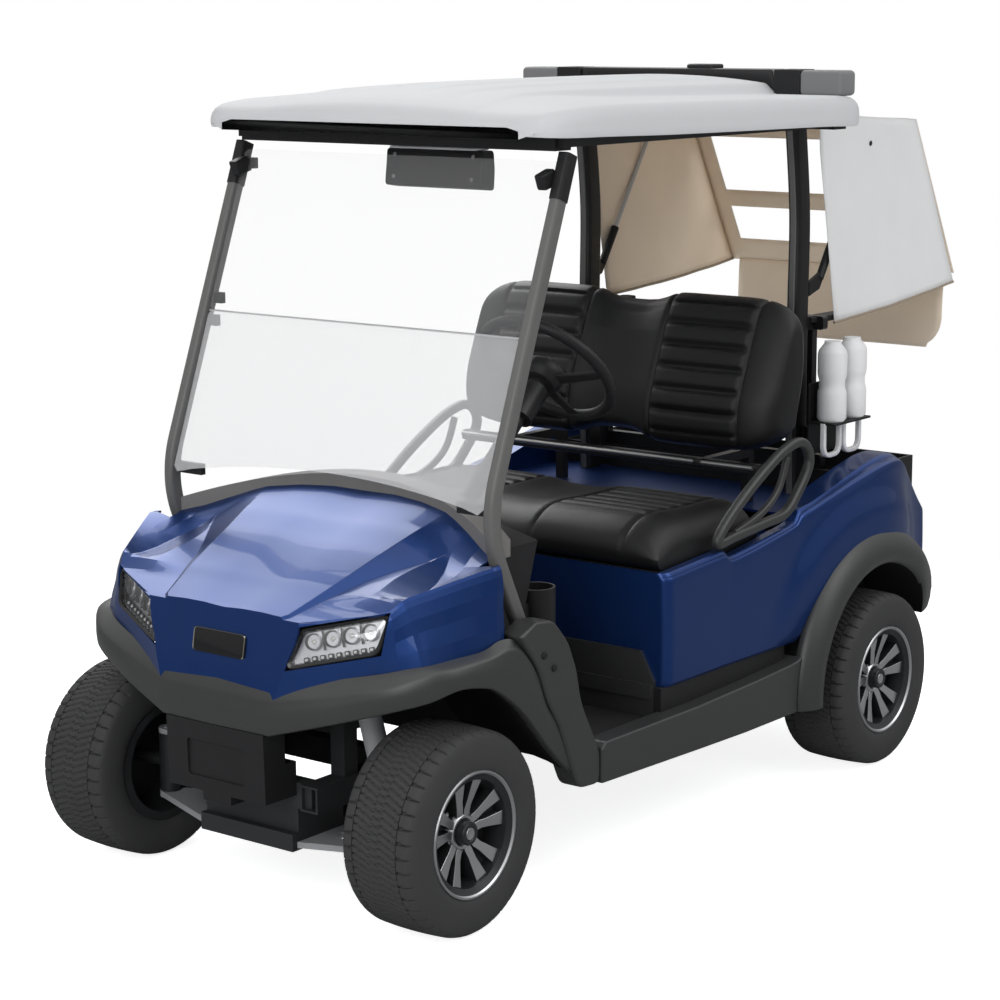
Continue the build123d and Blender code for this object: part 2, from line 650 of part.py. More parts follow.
with BuildPart() as column:
    with BuildSketch(Plane(origin=Vector(*WHEEL_AT) + COLUMN * 62, z_dir=COLUMN)):
        Circle(COLUMN_R)
    extrude(amount=430)
    with BuildSketch(Plane(origin=Vector(*WHEEL_AT) + COLUMN * 62, z_dir=COLUMN)):
        Circle(34)
    extrude(amount=90)
write(column, "steering_column")

WHEEL_R = 165
WHEEL_RIM_R = 14
with BuildPart() as wheel:
    hub = Plane(origin=Vector(*WHEEL_AT), z_dir=COLUMN)
    with BuildSketch(Plane(origin=Vector(*WHEEL_AT), x_dir=(0, 1, 0), z_dir=COLUMN.cross(Vector(0, 1, 0)))):
        with Locations((WHEEL_R, 0)):
            Circle(WHEEL_RIM_R)
    revolve(axis=Axis(Vector(*WHEEL_AT), COLUMN))
    with BuildSketch(hub.offset(-4)):
        Circle(52)
    extrude(amount=50)
    with BuildSketch(hub.offset(46)):
        Circle(22)
    extrude(amount=62 - 46 - FIT)
    with BuildSketch(hub.offset(12)):
        with PolarLocations(0, 3, start_angle=90):
            with Locations((WHEEL_R / 2 + 12, 0)):
                Rectangle(WHEEL_R - 30, 34)
    extrude(amount=12)
write(wheel, "steering_wheel")



def toe_x(z):
    """x of the toe board's cabin side at height z."""
    low, high = RAIL_HIGH + FIT + 20, TOE_TOP
    return FLOOR_FRONT - 14 + (z - low) / (high - low) * (TOE_FRONT + 14 - FLOOR_FRONT)


with BuildPart() as pedals:
    for y, width in ((300, 70), (200, 110)):
        with BuildSketch(side(y + width / 2)):
            outline([
                (toe_x(380) - 34, 380), (toe_x(380) - 24, 374), (toe_x(456) - 24, 450),
                (toe_x(456) - 34, 456),
            ])
        extrude(amount=width)
        with BuildSketch(side(y + 8)):
            outline([
                (toe_x(400) - 30, 400), (toe_x(400) - FIT, 400), (toe_x(420) - FIT, 420),
                (toe_x(420) - 30, 420),
            ])
        extrude(amount=16)
write(pedals, "pedals")

# ---------------------------------------------------------------- seat box, rear body
BODY = [  # x from the rear axle, lower half width, belt z, upper half width, top z
    (912, 540, 640, 528, 663), (686, 541, 655, 529, 677), (643, 541, 640, 529, 659),
    (346, 546, 680, 534, 700), (132, 556, 722, 538, 745), (-77, 570, 772, 530, 805),
    (-178, 572, 772, 530, 802), (-298, 560, 735, 520, 765), (-398, 530, 640, 500, 682),
]
BODY_LOW = 388
BODY_WALL = 6
DECK_T = 6
REAR_DECK_Z = 700
WELL_HALF = 470
WELL_FRONT = AXLE_REAR - 40
WELL_REAR = AXLE_REAR - 390
SEAT_REAR = AXLE_REAR + 272
with BuildPart() as body:
    for dx, low_half, belt, top_half, top in BODY:
        with BuildSketch(Plane.YZ.offset(AXLE_REAR + dx)):
            outline([
                (-low_half, BODY_LOW), (-low_half, belt), (-top_half, top), (top_half, top),
                (low_half, belt), (low_half, BODY_LOW),
            ])
    loft(ruled=True)
    for x0, x1, half, z0, z1 in (
        (SEAT_REAR, SEAT_FRONT - BODY_WALL, SEAT_HALF, BODY_LOW - 10, DECK_Z - DECK_T),
        (SEAT_REAR - 1, SEAT_FRONT - BODY_WALL, SEAT_HALF + 3, DECK_Z, 900),
        (WELL_FRONT - 1, SEAT_REAR, WELL_HALF, BODY_LOW - 10, REAR_DECK_Z - DECK_T),
        (WELL_FRONT, SEAT_REAR, WELL_HALF, REAR_DECK_Z, 900),
        (WELL_REAR, WELL_FRONT, WELL_HALF, BODY_LOW - 10, 900),
    ):
        with BuildSketch(Plane.XY.offset(z0)):
            outline([(x0, -half), (x1, -half), (x1, half), (x0, half)])
        extrude(amount=z1 - z0, mode=Mode.SUBTRACT)
    with BuildSketch(side(700)):
        with Locations((ARCH_X, ARCH_Z)):
            Circle(FLARE_R + 1)
    extrude(amount=1400, mode=Mode.SUBTRACT)
write(body, "rear_body")

FLARE_FROM = -3                          # degrees round the arch, from straight ahead
FLARE_TO = 151
with BuildPart() as flares:
    for hand in (1, -1):
        a = radians(FLARE_FROM)
        start = Plane(origin=(ARCH_X, 0, ARCH_Z), x_dir=(0, 1, 0), z_dir=(sin(a), 0, -cos(a)))
        with BuildSketch(start):
            outline([(hand * b, c) for b, c in (
                (400, ARCH_R), (600, ARCH_R), (605, ARCH_R + 12), (604, ARCH_R + 34),
                (573, FLARE_R), (558, FLARE_R), (558, ARCH_R + 6), (400, ARCH_R + 6),
            )])
        revolve(
            axis=Axis((ARCH_X, 0, ARCH_Z), (0, -1, 0)), revolution_arc=FLARE_TO - FLARE_FROM
        )
write(flares, "rear_flares")

with BuildPart() as kick:
    with BuildSketch(Plane.YZ.offset(SEAT_FRONT + FIT)):
        low = FLOOR_TOP + FIT
        outline([
            (-508, low), (508, low), (508, 402), (469, 472), (-469, 472), (-508, 402),
        ])
    extrude(amount=10)
    with BuildSketch(Plane.YZ.offset(SEAT_FRONT + FIT + 10)):
        with Locations((0, 378)):
            Rectangle(1010, 36)
    extrude(amount=8)
write(kick, "kick_panel")

WELL_FLOOR = 560
with BuildPart() as well:
    with BuildSketch(Plane.XY.offset(WELL_FLOOR)):
        outline([
            (WELL_REAR + FIT, FIT - WELL_HALF), (WELL_FRONT - 2, FIT - WELL_HALF),
            (WELL_FRONT - 2, WELL_HALF - FIT), (WELL_REAR + FIT, WELL_HALF - FIT),
        ])
    extrude(amount=200)
    with BuildSketch(Plane.XY.offset(WELL_FLOOR + 6)):
        outline([
            (WELL_REAR + 8, 8 - WELL_HALF), (WELL_FRONT - 10, 8 - WELL_HALF),
            (WELL_FRONT - 10, WELL_HALF - 8), (WELL_REAR + 8, WELL_HALF - 8),
        ])
    extrude(amount=300, mode=Mode.SUBTRACT)
write(well, "bag_well")

with BuildPart() as rear_bumper:
    with BuildSketch(side(420)):
        with Locations((AXLE_REAR - 420, 440)):
            Rectangle(36, 90)
    extrude(amount=840)
    for hand in (1, -1):
        with BuildSketch(side(hand * FRAME_Y + 20)):
            outline([
                (RAIL_REAR - FIT, 340), (AXLE_REAR - 438, 340), (AXLE_REAR - 438, 396),
                (AXLE_REAR - 403, 396), (AXLE_REAR - 403, 380), (RAIL_REAR - FIT, 380),
            ])
        extrude(amount=40)
write(rear_bumper, "rear_bumper")

with BuildPart() as tails:
    for hand in (1, -1):
        with BuildSketch(Plane.YZ.offset(AXLE_REAR - 398 - FIT)):
            with Locations((hand * 465, 560)):
                RectangleRounded(50, 110, 8)
        extrude(amount=-9)
write(tails, "tail_lamps")

# ---------------------------------------------------------------- seat
HINGE_X = SEAT_FRONT - 472
HINGE_Z = DECK_Z + 10
BASE_T = 12
with BuildPart() as base:
    with BuildSketch(Plane.XY.offset(DECK_Z + FIT)):
        outline([
            (HINGE_X + 12, -495), (SEAT_FRONT - 20, -495), (SEAT_FRONT - 20, 495), (HINGE_X + 12, 495),
        ])
    extrude(amount=BASE_T)
    for y in (300, -300):
        with BuildSketch(side(y + 20)):
            with Locations((HINGE_X, HINGE_Z)):
                Circle(8)
            with Locations((HINGE_X + 8, HINGE_Z - 3)):
                Rectangle(16, 8)
            with Locations((HINGE_X, HINGE_Z)):
                Circle(4 + PIN_FIT, mode=Mode.SUBTRACT)
        extrude(amount=40)
write(base, "seat_base")

with BuildPart() as hinges:
    for y in (300, -300):
        with BuildSketch(side(y + 34)):
            with Locations((HINGE_X, HINGE_Z)):
                Circle(4)
        extrude(amount=68)
        for start in (y + 34, y - 21):
            with BuildSketch(side(start)):
                with Locations((HINGE_X, HINGE_Z)):
                    Circle(8)
                with Locations((HINGE_X - 4, HINGE_Z - 5)):
                    Rectangle(24, 9)
            extrude(amount=13)
write(hinges, "seat_hinges")

CUSHION_LOW = DECK_Z + FIT + BASE_T + FIT
CUSHION_HALF = 500
with BuildPart() as cushion:
    with BuildSketch(side(CUSHION_HALF)):
        outline([
            (HINGE_X + 14, CUSHION_LOW), (SEAT_FRONT - 12, CUSHION_LOW), (SEAT_FRONT - 8, 690),
            (SEAT_FRONT - 26, 735), (SEAT_FRONT - 78, 768), (SEAT_FRONT - 140, 777),
            (SEAT_FRONT - 300, 772), (HINGE_X + 24, 768),
        ])
    extrude(amount=2 * CUSHION_HALF)
write(cushion, "seat_cushion")

BACK_LOW = 866
BACK_TOP = 1247
with BuildPart() as back:
    with BuildSketch(side(SEAT_HALF)):
        outline([
            (SEAT_FRONT - 535, BACK_LOW), (SEAT_FRONT - 510, 900), (SEAT_FRONT - 520, 980),
            (SEAT_FRONT - 570, 1110), (SEAT_FRONT - 615, 1225), (SEAT_FRONT - 645, BACK_TOP),
            (SEAT_FRONT - 680, 1240), (SEAT_FRONT - 705, 1190), (SEAT_FRONT - 698, 1060),
            (SEAT_FRONT - 660, 920), (SEAT_FRONT - 640, BACK_LOW + 2),
        ])
    extrude(amount=2 * SEAT_HALF)
    with BuildSketch(Plane.YZ.offset(SEAT_FRONT - 800)) as front_view:
        Polygon(
            (-SEAT_HALF, BACK_LOW - 1), (SEAT_HALF, BACK_LOW - 1), (SEAT_HALF, BACK_TOP + 1),
            (-SEAT_HALF, BACK_TOP + 1), align=None,
        )
        fillet(front_view.vertices().group_by(Axis.Y)[-1], radius=120)
        fillet(front_view.vertices().group_by(Axis.Y)[0], radius=50)
    extrude(amount=500, mode=Mode.INTERSECT)
write(back, "seat_back")

BACK_FRAME_X = SEAT_FRONT - 735
with BuildPart() as back_frame:
    with BuildSketch(side(470)):
        with Locations((SEAT_FRONT - 512, 832)):
            RectangleRounded(32, 26, 8)
    extrude(amount=940)
    for hand in (1, -1):
        with BuildSketch(side(hand * 300 + 12)):
            outline([
                (BACK_FRAME_X, REAR_DECK_Z + FIT), (BACK_FRAME_X, 1150), (BACK_FRAME_X + 24, 1150),
                (BACK_FRAME_X + 24, 1100), (SEAT_FRONT - 700.6, 1100), (SEAT_FRONT - 699, 1070),
                (BACK_FRAME_X + 24, 1070), (BACK_FRAME_X + 24, 844), (SEAT_FRONT - 512, 844),
                (SEAT_FRONT - 512, 820), (BACK_FRAME_X + 24, 820), (BACK_FRAME_X + 24, REAR_DECK_Z + FIT),
            ])
        extrude(amount=24)
write(back_frame, "seat_back_frame")

LOOP_Y = 534
LOOP_T = 26
LOOP = [  # side view of a hip restraint, x from the seat front
    (-196, 679), (-250, 740), (-490, 900), (-590, 925), (-640, 890), (-640, 830), (-560, 735),
    (-520, 704),
]
with BuildPart() as loops:
    for hand in (1, -1):
        with BuildSketch(side(max(hand * (LOOP_Y - LOOP_T / 2), hand * (LOOP_Y + LOOP_T / 2)))) as ring:
            Polygon(*[(SEAT_FRONT + a, b + FIT) for a, b in LOOP], align=None)
            fillet(ring.vertices(), radius=18)
            offset(amount=-27, mode=Mode.SUBTRACT)
        extrude(amount=LOOP_T)
        for foot_x, foot_z in ((-210, 677), (-515, 695.5)):
            with BuildSketch(Plane.XY.offset(foot_z + FIT)):
                with Locations((SEAT_FRONT + foot_x, hand * (LOOP_Y - LOOP_T / 2 - 2))):
                    Rectangle(36, 16)
            extrude(amount=24)
write(loops, "hip_restraints")

# ---------------------------------------------------------------- struts, roof, windshield
with BuildPart() as struts:
    for hand in (1, -1):
        with BuildLine(Plane.XZ.offset(-hand * STRUT_Y)) as path:
            FilletPolyline(*STRUT_PATH, radius=110)
        with BuildSketch(Plane(origin=path.line @ 0, x_dir=(0, 1, 0), z_dir=path.line % 0)):
            RectangleRounded(STRUT_W, STRUT_D, 9)
        sweep(path=path.line)
write(struts, "front_struts")

REAR_STRUT_Y = 336
with BuildPart() as rear_struts:
    for hand in (1, -1):
        with BuildLine(Plane.XZ.offset(-hand * REAR_STRUT_Y)) as path:
            ThreePointArc((AXLE_REAR - 5, REAR_DECK_Z + 1), (AXLE_REAR + 5, 1200), (AXLE_REAR + 35, 1659.3))
        with BuildSketch(Plane(origin=path.line @ 0, x_dir=(0, 1, 0), z_dir=path.line % 0)):
            RectangleRounded(40, 62, 12)
        sweep(path=path.line)
write(rear_struts, "rear_struts")

ROOF = [  # x, half width, lip z, edge z, middle z
    (ROOF_FRONT, 455, 1698, 1736, 1744), (ROOF_FRONT - 40, 512, 1694, 1745, 1766),
    (ROOF_FRONT - 220, ROOF_HALF, 1690, 1762, 1794), (ROOF_REAR + 200, ROOF_HALF, 1676, 1756, 1800),
    (ROOF_REAR + 50, 520, 1672, 1748, 1790), (ROOF_REAR, 470, 1674, 1726, 1762),
]
CEILING = 1712
with BuildPart() as roof:
    for x, half, lip, edge, mid in ROOF:
        with BuildSketch(Plane.YZ.offset(x)):
            with BuildLine():
                Line((-half + 14, lip), (half - 14, lip))
                Line((half - 14, lip), (half, lip + 8))
                Line((half, lip + 8), (half, edge - 26))
                Line((half, edge - 26), (half - 34, edge))
                ThreePointArc((half - 34, edge), (0, mid), (34 - half, edge))
                Line((34 - half, edge), (-half, edge - 26))
                Line((-half, edge - 26), (-half, lip + 8))
                Line((-half, lip + 8), (-half + 14, lip))
            make_face()
    loft(ruled=True)
    with BuildSketch(Plane.XY.offset(1650)):
        outline([
            (ROOF_FRONT - 60, 470), (ROOF_FRONT - 120, 500), (ROOF_REAR + 50, 495),
            (ROOF_REAR + 22, 470), (ROOF_REAR + 22, -470), (ROOF_REAR + 50, -495),
            (ROOF_FRONT - 120, -500), (ROOF_FRONT - 60, -470),
        ])
    extrude(amount=CEILING - 1650, mode=Mode.SUBTRACT)
write(roof, "roof_canopy")

FRAME_TOP = CEILING - FIT
FRAME_LOW = 1662 + FIT
with BuildPart() as roof_frame:
    for hand in (1, -1):
        with BuildSketch(side(max(hand * 458, hand * 486))):
            outline([
                (AXLE_REAR + 60, FRAME_LOW + 8), (AXLE_FRONT - 415, FRAME_LOW + 8),
                (AXLE_FRONT - 415, FRAME_TOP), (AXLE_REAR + 60, FRAME_TOP),
            ])
        extrude(amount=28)
    for x in (AXLE_FRONT - 436, AXLE_REAR + 35):
        with BuildSketch(side(468)):
            with Locations((x, (FRAME_LOW + FRAME_TOP) / 2)):
                Rectangle(58, FRAME_TOP - FRAME_LOW)
        extrude(amount=936)
write(roof_frame, "roof_frame")

with BuildPart() as roof_bar:
    with BuildSketch(Plane.YZ.offset(AXLE_REAR + 20)):
        with BuildLine():
            ThreePointArc((-500, 1750), (0, 1806), (500, 1750))
            Line((500, 1750), (500, 1790))
            ThreePointArc((500, 1790), (0, 1824), (-500, 1790))
            Line((-500, 1790), (-500, 1750))
        make_face()
    extrude(amount=80)
write(roof_bar, "roof_bar")

with BuildPart() as display:
    with BuildSketch(side(145)):
        outline([
            (AXLE_FRONT - 610, 1552), (AXLE_FRONT - 552, 1560), (AXLE_FRONT - 562, 1646),
            (AXLE_FRONT - 606, 1646),
        ])
    extrude(amount=290)
    with BuildSketch(Plane.XY.offset(1645)):
        with Locations((AXLE_FRONT - 584, 90), (AXLE_FRONT - 584, -90)):
            Rectangle(30, 40)
    extrude(amount=CEILING - FIT - 1645)
write(display, "dash_display")

GLASS_LOW = (AXLE_FRONT - 142, 893)
GLASS_TOP = (AXLE_FRONT - 417, 1640)
GLASS_LEAN = (GLASS_TOP[0] - GLASS_LOW[0]) / (GLASS_TOP[1] - GLASS_LOW[1])
GLASS_HALF = STRUT_Y - STRUT_W / 2 - 4
SEAM_Z = 1265
GLASS_T = 5


def glass_x(z):
    """x of the front face of the windshield at height z."""
    return GLASS_LOW[0] + (z - GLASS_LOW[1]) * GLASS_LEAN


for label, z0, z1 in (
    ("windshield_lower", GLASS_LOW[1], SEAM_Z - 1), ("windshield_upper", SEAM_Z + 1, GLASS_TOP[1]),
):
    with BuildPart() as pane:
        with BuildSketch(side(GLASS_HALF)):
            outline([
                (glass_x(z0), z0), (glass_x(z0) - GLASS_T, z0), (glass_x(z1) - GLASS_T, z1),
                (glass_x(z1), z1),
            ])
        extrude(amount=2 * GLASS_HALF)
    write(pane, label)

CLIPS = [  # z of the clip, reach inwards from the strut
    (902, 85), (1240, 26), (1292, 26), (1607, 34),
]
with BuildPart() as clips:
    for hand in (1, -1):
        for z, reach in CLIPS:
            strut_face = STRUT_Y - STRUT_W / 2 - FIT
            with BuildSketch(side(hand * strut_face if hand > 0 else -strut_face + reach)):
                with Locations((glass_x(z + 13) - GLASS_T - FIT - 7, z)):
                    Rectangle(14, 26)
            extrude(amount=reach)
write(clips, "windshield_clips")

# ---------------------------------------------------------------- bag frame, cover, bottles
with BuildPart() as bag_frame:
    for z in (1150, 780):
        with BuildSketch(Plane.YZ.offset(AXLE_REAR - 72)):
            with Locations((0, z)):
                RectangleRounded(760, 36, 8)
        extrude(amount=24)
    for hand in (1, -1):
        with BuildSketch(Plane.XY.offset(WELL_FLOOR + 200 + FIT)):
            with Locations((AXLE_REAR - 60, hand * 330)):
                Rectangle(24, 36)
        extrude(amount=406)
        with BuildSketch(Plane.XY.offset(1132)):
            with Locations((AXLE_REAR - 40.2, hand * REAR_STRUT_Y)):
                Rectangle(23, 30)
        extrude(amount=36)
write(bag_frame, "bag_frame")

COVER_HALF = 375
COVER_T = 5
COVER_OUT = [  # side view of the bag cover
    (ROOF_REAR - FIT, 1700), (AXLE_REAR - 539, 1665), (AXLE_REAR - COVER_TAIL, 1223),
    (AXLE_REAR - 120, 1170),
]
with BuildPart() as cover:
    with BuildSketch(side(COVER_HALF)):
        outline(COVER_OUT)
    extrude(amount=2 * COVER_HALF)
    with BuildSketch(side(COVER_HALF - COVER_T)):
        outline([
            (ROOF_REAR + 10, 1694), (AXLE_REAR - 535, 1659), (AXLE_REAR - 774, 1228),
            (AXLE_REAR - 774, 1100), (AXLE_REAR - 100, 1100),
        ])
    extrude(amount=2 * (COVER_HALF - COVER_T), mode=Mode.SUBTRACT)
    for z0, z1 in ((1440, 1600), (1290, 1390)):
        with BuildSketch(Plane.YZ.offset(AXLE_REAR - 800)):
            with Locations((0, (z0 + z1) / 2)):
                RectangleRounded(640, z1 - z0, 20)
        extrude(amount=400, mode=Mode.SUBTRACT)
    with BuildSketch(side(COVER_HALF - 12)):
        outline([
            (AXLE_REAR - COVER_TAIL, 1223), (AXLE_REAR - 778, 1223), (AXLE_REAR - 773, 1120),
            (AXLE_REAR - 778, 1120),
        ])
    extrude(amount=2 * (COVER_HALF - 12))
write(cover, "bag_cover")

BOTTLE_Y = 450
BOTTLE_R = 38
BOTTLE_LOW = 905
HOLDER_LOW = 815
with BuildPart() as bottles:
    for x in (AXLE_REAR + 19, AXLE_REAR - 148 + 75):
        with BuildSketch(Plane.XY.offset(BOTTLE_LOW)):
            with Locations((x, BOTTLE_Y)):
                Circle(BOTTLE_R)
        extrude(amount=170)
        with BuildSketch(Plane.XY.offset(BOTTLE_LOW + 170)):
            with Locations((x, BOTTLE_Y)):
                Circle(24)
        extrude(amount=40)
write(bottles, "sand_bottles")

with BuildPart() as holder:
    with BuildSketch(Plane.XY.offset(HOLDER_LOW)):
        with Locations((AXLE_REAR - 27, BOTTLE_Y)):
            Rectangle(170, 80)
    extrude(amount=BOTTLE_LOW - FIT - HOLDER_LOW)
    with BuildSketch(Plane.XY.offset(HOLDER_LOW + 12)):
        with Locations((AXLE_REAR - 27, BOTTLE_Y + 3)):
            Rectangle(150, 80)
    extrude(amount=BOTTLE_LOW - 24 - HOLDER_LOW, mode=Mode.SUBTRACT)
    with BuildSketch(Plane.XY.offset(HOLDER_LOW + 6)):
        with Locations((AXLE_REAR + 2, (BOTTLE_Y - 40 + REAR_STRUT_Y + 20 + FIT) / 2)):
            Rectangle(30, BOTTLE_Y - 40 - REAR_STRUT_Y - 20 - FIT)
    extrude(amount=60)
write(holder, "bottle_holder")
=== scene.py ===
import bpy
import bmesh
from math import atan2, cos, exp, hypot, pi, radians, sin, sqrt
from mathutils import Matrix, Vector


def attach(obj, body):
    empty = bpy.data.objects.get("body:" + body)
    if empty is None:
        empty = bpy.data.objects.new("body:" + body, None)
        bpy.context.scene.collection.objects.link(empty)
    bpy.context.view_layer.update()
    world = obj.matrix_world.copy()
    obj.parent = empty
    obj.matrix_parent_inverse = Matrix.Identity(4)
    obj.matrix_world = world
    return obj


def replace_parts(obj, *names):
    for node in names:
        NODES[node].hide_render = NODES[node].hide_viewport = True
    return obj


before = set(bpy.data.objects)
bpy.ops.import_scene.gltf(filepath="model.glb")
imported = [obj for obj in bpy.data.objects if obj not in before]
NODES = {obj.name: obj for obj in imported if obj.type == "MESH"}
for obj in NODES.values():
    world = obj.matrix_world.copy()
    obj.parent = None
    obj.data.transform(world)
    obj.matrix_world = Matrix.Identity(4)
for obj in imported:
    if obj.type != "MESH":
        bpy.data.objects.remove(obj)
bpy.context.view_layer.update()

# Everything below is in millimetres until MM turns it into metres.
MM = 0.001
AF, AR, SF = 1108.75, -555.25, 356.75     # front axle, rear axle, seat box front
TYRE_R = 229.5
SIDES = ((1, "left"), (-1, "right"))
collection = bpy.context.scene.collection

# ---------------------------------------------------------------- camera
# fitted to the photograph's four wheels
LENS_MM = 92.155
CAMERA_AT = (5.22581, 3.81668, 1.96898)
YAW, PITCH, ROLL = 217.772, -10.869, 0.262
cam_data = bpy.data.cameras.new("camera")
cam_data.sensor_width = 36
cam_data.lens = LENS_MM
camera = bpy.data.objects.new("camera", cam_data)
collection.objects.link(camera)
yaw, pitch, roll = radians(YAW), radians(PITCH), radians(ROLL)
look = Vector((cos(pitch) * cos(yaw), cos(pitch) * sin(yaw), sin(pitch)))
right = look.cross(Vector((0, 0, 1))).normalized()
down = look.cross(right)
cam_x = cos(roll) * right + sin(roll) * down
cam_y = -(cos(roll) * down - sin(roll) * right)
turn = Matrix((cam_x, cam_y, -look)).transposed()
camera.matrix_world = Matrix.Translation(CAMERA_AT) @ turn.to_4x4()
bpy.context.scene.camera = camera

# ---------------------------------------------------------------- materials
def node(tree, kind, inputs, **settings):
    """A shader node. inputs holds, by name or number, a value or the output to link there."""
    made = tree.nodes.new("ShaderNode" + kind)
    for key, value in settings.items():
        setattr(made, key, value)
    plug(tree, made, inputs)
    return made


def plug(tree, target, inputs):
    for key, value in inputs.items():
        if isinstance(value, bpy.types.NodeSocket):
            tree.links.new(value, target.inputs[key])
        else:
            target.inputs[key].default_value = value


def material(name, color, rough=0.5, metal=0.0, coat=0.0, grain=0.0, scale=400.0, vary=0.06, alpha=1.0,
             spec=0.5, kind="noise"):
    """A Principled material with mottled colour and a fine bump."""
    m = bpy.data.materials.new(name)
    m.use_nodes = True
    tree = m.node_tree
    at = node(tree, "TexCoord", {}).outputs["Object"]
    spots = node(tree, "TexNoise", {"Scale": 9, "Detail": 4, "Vector": at}).outputs["Fac"]
    low, high = ([min(1, c * k) for c in color] + [1] for k in (1 - vary, 1 + vary))
    mottle = node(tree, "Mix", {0: spots, 6: low, 7: high}, data_type="RGBA")
    gloss = node(tree, "MapRange", {"To Min": max(0, rough - 0.05), "To Max": min(1, rough + 0.05),
                                    "Value": spots})
    bsdf = tree.nodes["Principled BSDF"]
    plug(tree, bsdf, {
        "Metallic": metal, "Coat Weight": coat, "Coat Roughness": 0.04, "Specular IOR Level": spec,
        "Alpha": alpha, "Base Color": mottle.outputs[2], "Roughness": gloss.outputs["Result"],
    })
    if grain:
        if kind == "voronoi":
            height = node(tree, "TexVoronoi", {"Scale": scale, "Vector": at}).outputs["Distance"]
        else:
            height = node(tree, "TexNoise", {"Detail": 3, "Scale": scale, "Vector": at}).outputs["Fac"]
        bump = node(tree, "Bump", {"Strength": grain, "Distance": 0.0006, "Height": height})
        plug(tree, bsdf, {"Normal": bump.outputs["Normal"]})
    return m


BLUE = material("blue_paint", (0.011, 0.042, 0.175), rough=0.33, metal=0.6, coat=0.25, spec=0.2, grain=0.05,
                scale=1800)
TRIM = material("trim_plastic", (0.036, 0.037, 0.036), rough=0.38, spec=0.5, grain=0.35, scale=900)
BROW = material("brow_plastic", (0.21, 0.203, 0.193), rough=0.42, spec=0.3, grain=0.3, scale=900)
BLACK = material("black_plastic", (0.017, 0.017, 0.018), rough=0.45, spec=0.25, grain=0.3, scale=900)
BLACK_METAL = material("black_metal", (0.013, 0.013, 0.014), rough=0.36, spec=0.35, grain=0.1, scale=600)
STRUT = material("strut_paint", (0.14, 0.138, 0.134), rough=0.38, spec=0.35, grain=0.08, scale=700)
LINER = material("liner", (0.007, 0.007, 0.007), rough=0.8, spec=0.1, grain=0.4, scale=500)
SUSPENSION_GREY = material("arm_paint", (0.33, 0.34, 0.35), rough=0.45, spec=0.3, grain=0.1, scale=500)
CHASSIS_PAINT = material("chassis_paint", (0.03, 0.031, 0.033), rough=0.45, spec=0.3, grain=0.15, scale=300)
STEEL = material("steel", (0.35, 0.35, 0.35), rough=0.35, metal=0.9, grain=0.1, scale=500)
RUBBER = material("rubber", (0.046, 0.046, 0.047), rough=0.66, spec=0.25, grain=0.25, scale=700, vary=0.12)
MACHINED = material("machined", (0.55, 0.555, 0.565), rough=0.34, metal=1.0, grain=0.08, scale=1200)
DARK_ALLOY = material("pocket_paint", (0.030, 0.031, 0.033), rough=0.38, metal=0.3, spec=0.3, grain=0.1,
                      scale=600)
VINYL = material("vinyl", (0.0065, 0.0065, 0.007), rough=0.42, spec=0.35, grain=0.5, scale=750, vary=0.1,
                 kind="voronoi")
ROOF_WHITE = material("roof_plastic", (0.66, 0.67, 0.68), rough=0.6, spec=0.05, grain=0.08, scale=300,
                      vary=0.01)
CLOTH = material("cover_cloth", (0.84, 0.84, 0.835), rough=0.7, spec=0.15, grain=0.35, scale=900, vary=0.02)
BEIGE = material("lining", (0.93, 0.80, 0.64), rough=0.8, spec=0.1, grain=0.5, scale=1200, vary=0.05)
PIPING = material("piping", (0.35, 0.29, 0.22), rough=0.6, spec=0.2, grain=0.2, scale=800)
LENS = material("lens", (0.95, 0.97, 1.0), rough=0.04, metal=1.0, alpha=0.12)
# the panes' milky near-white veil is painted reflection of the white studio, heavier on the lower pane
PANE = material("pane", (0.95, 0.95, 0.95), rough=0.3, spec=0.2, alpha=0.06, vary=0)
PANE_LOW = material("pane_low", (0.95, 0.95, 0.95), rough=0.3, spec=0.2, alpha=0.28, vary=0)
MIRROR = material("reflector", (0.60, 0.61, 0.64), rough=0.3, metal=1.0)
LED = material("led", (0.85, 0.85, 0.83), rough=0.2, metal=0.2)
LAMP_BLACK = material("lamp_black", (0.010, 0.010, 0.011), rough=0.2, spec=0.35, coat=0.2)
RED = material("red_lens", (0.4, 0.012, 0.012), rough=0.12, coat=0.8)
BOTTLE = material("bottle", (0.88, 0.88, 0.88), rough=0.4, spec=0.3, vary=0.02)
MAT = material("floor_mat", (0.018, 0.018, 0.018), rough=0.65, spec=0.2, grain=0.3, scale=500)
LIGHT_EDGE = material("plate_edge", (0.55, 0.52, 0.45), rough=0.3, metal=0.9)
ROD_GREY = material("rod_grey", (0.50, 0.50, 0.51), rough=0.4, spec=0.3)
BAR_GREY = material("bar_grey", (0.22, 0.22, 0.225), rough=0.5, spec=0.25, grain=0.2, scale=900)

# ---------------------------------------------------------------- mesh helpers
def make(name, verts, faces, mat, body="chassis", slot=None, sharp=32, mats=None):
    """A piece from points in millimetres."""
    mesh = bpy.data.meshes.new(name)
    mesh.from_pydata([tuple(c * MM for c in v) for v in verts], [], faces)
    obj = bpy.data.objects.new(name, mesh)
    collection.objects.link(obj)
    for m in mats or [mat]:
        mesh.materials.append(m)
    finish_mesh(obj, sharp)
    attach(obj, body)
    return obj


def finish_mesh(obj, sharp):
    """Faces point outwards, and shade smooth except over sharp edges."""
    bm = bmesh.new()
    bm.from_mesh(obj.data)
    bmesh.ops.remove_doubles(bm, verts=bm.verts, dist=1e-5)
    bmesh.ops.dissolve_degenerate(bm, edges=bm.edges, dist=1e-6)
    bmesh.ops.recalc_face_normals(bm, faces=bm.faces)
    bm.to_mesh(obj.data)
    bm.free()
    obj.data.shade_smooth()
    obj.data.set_sharp_from_angle(angle=radians(sharp))


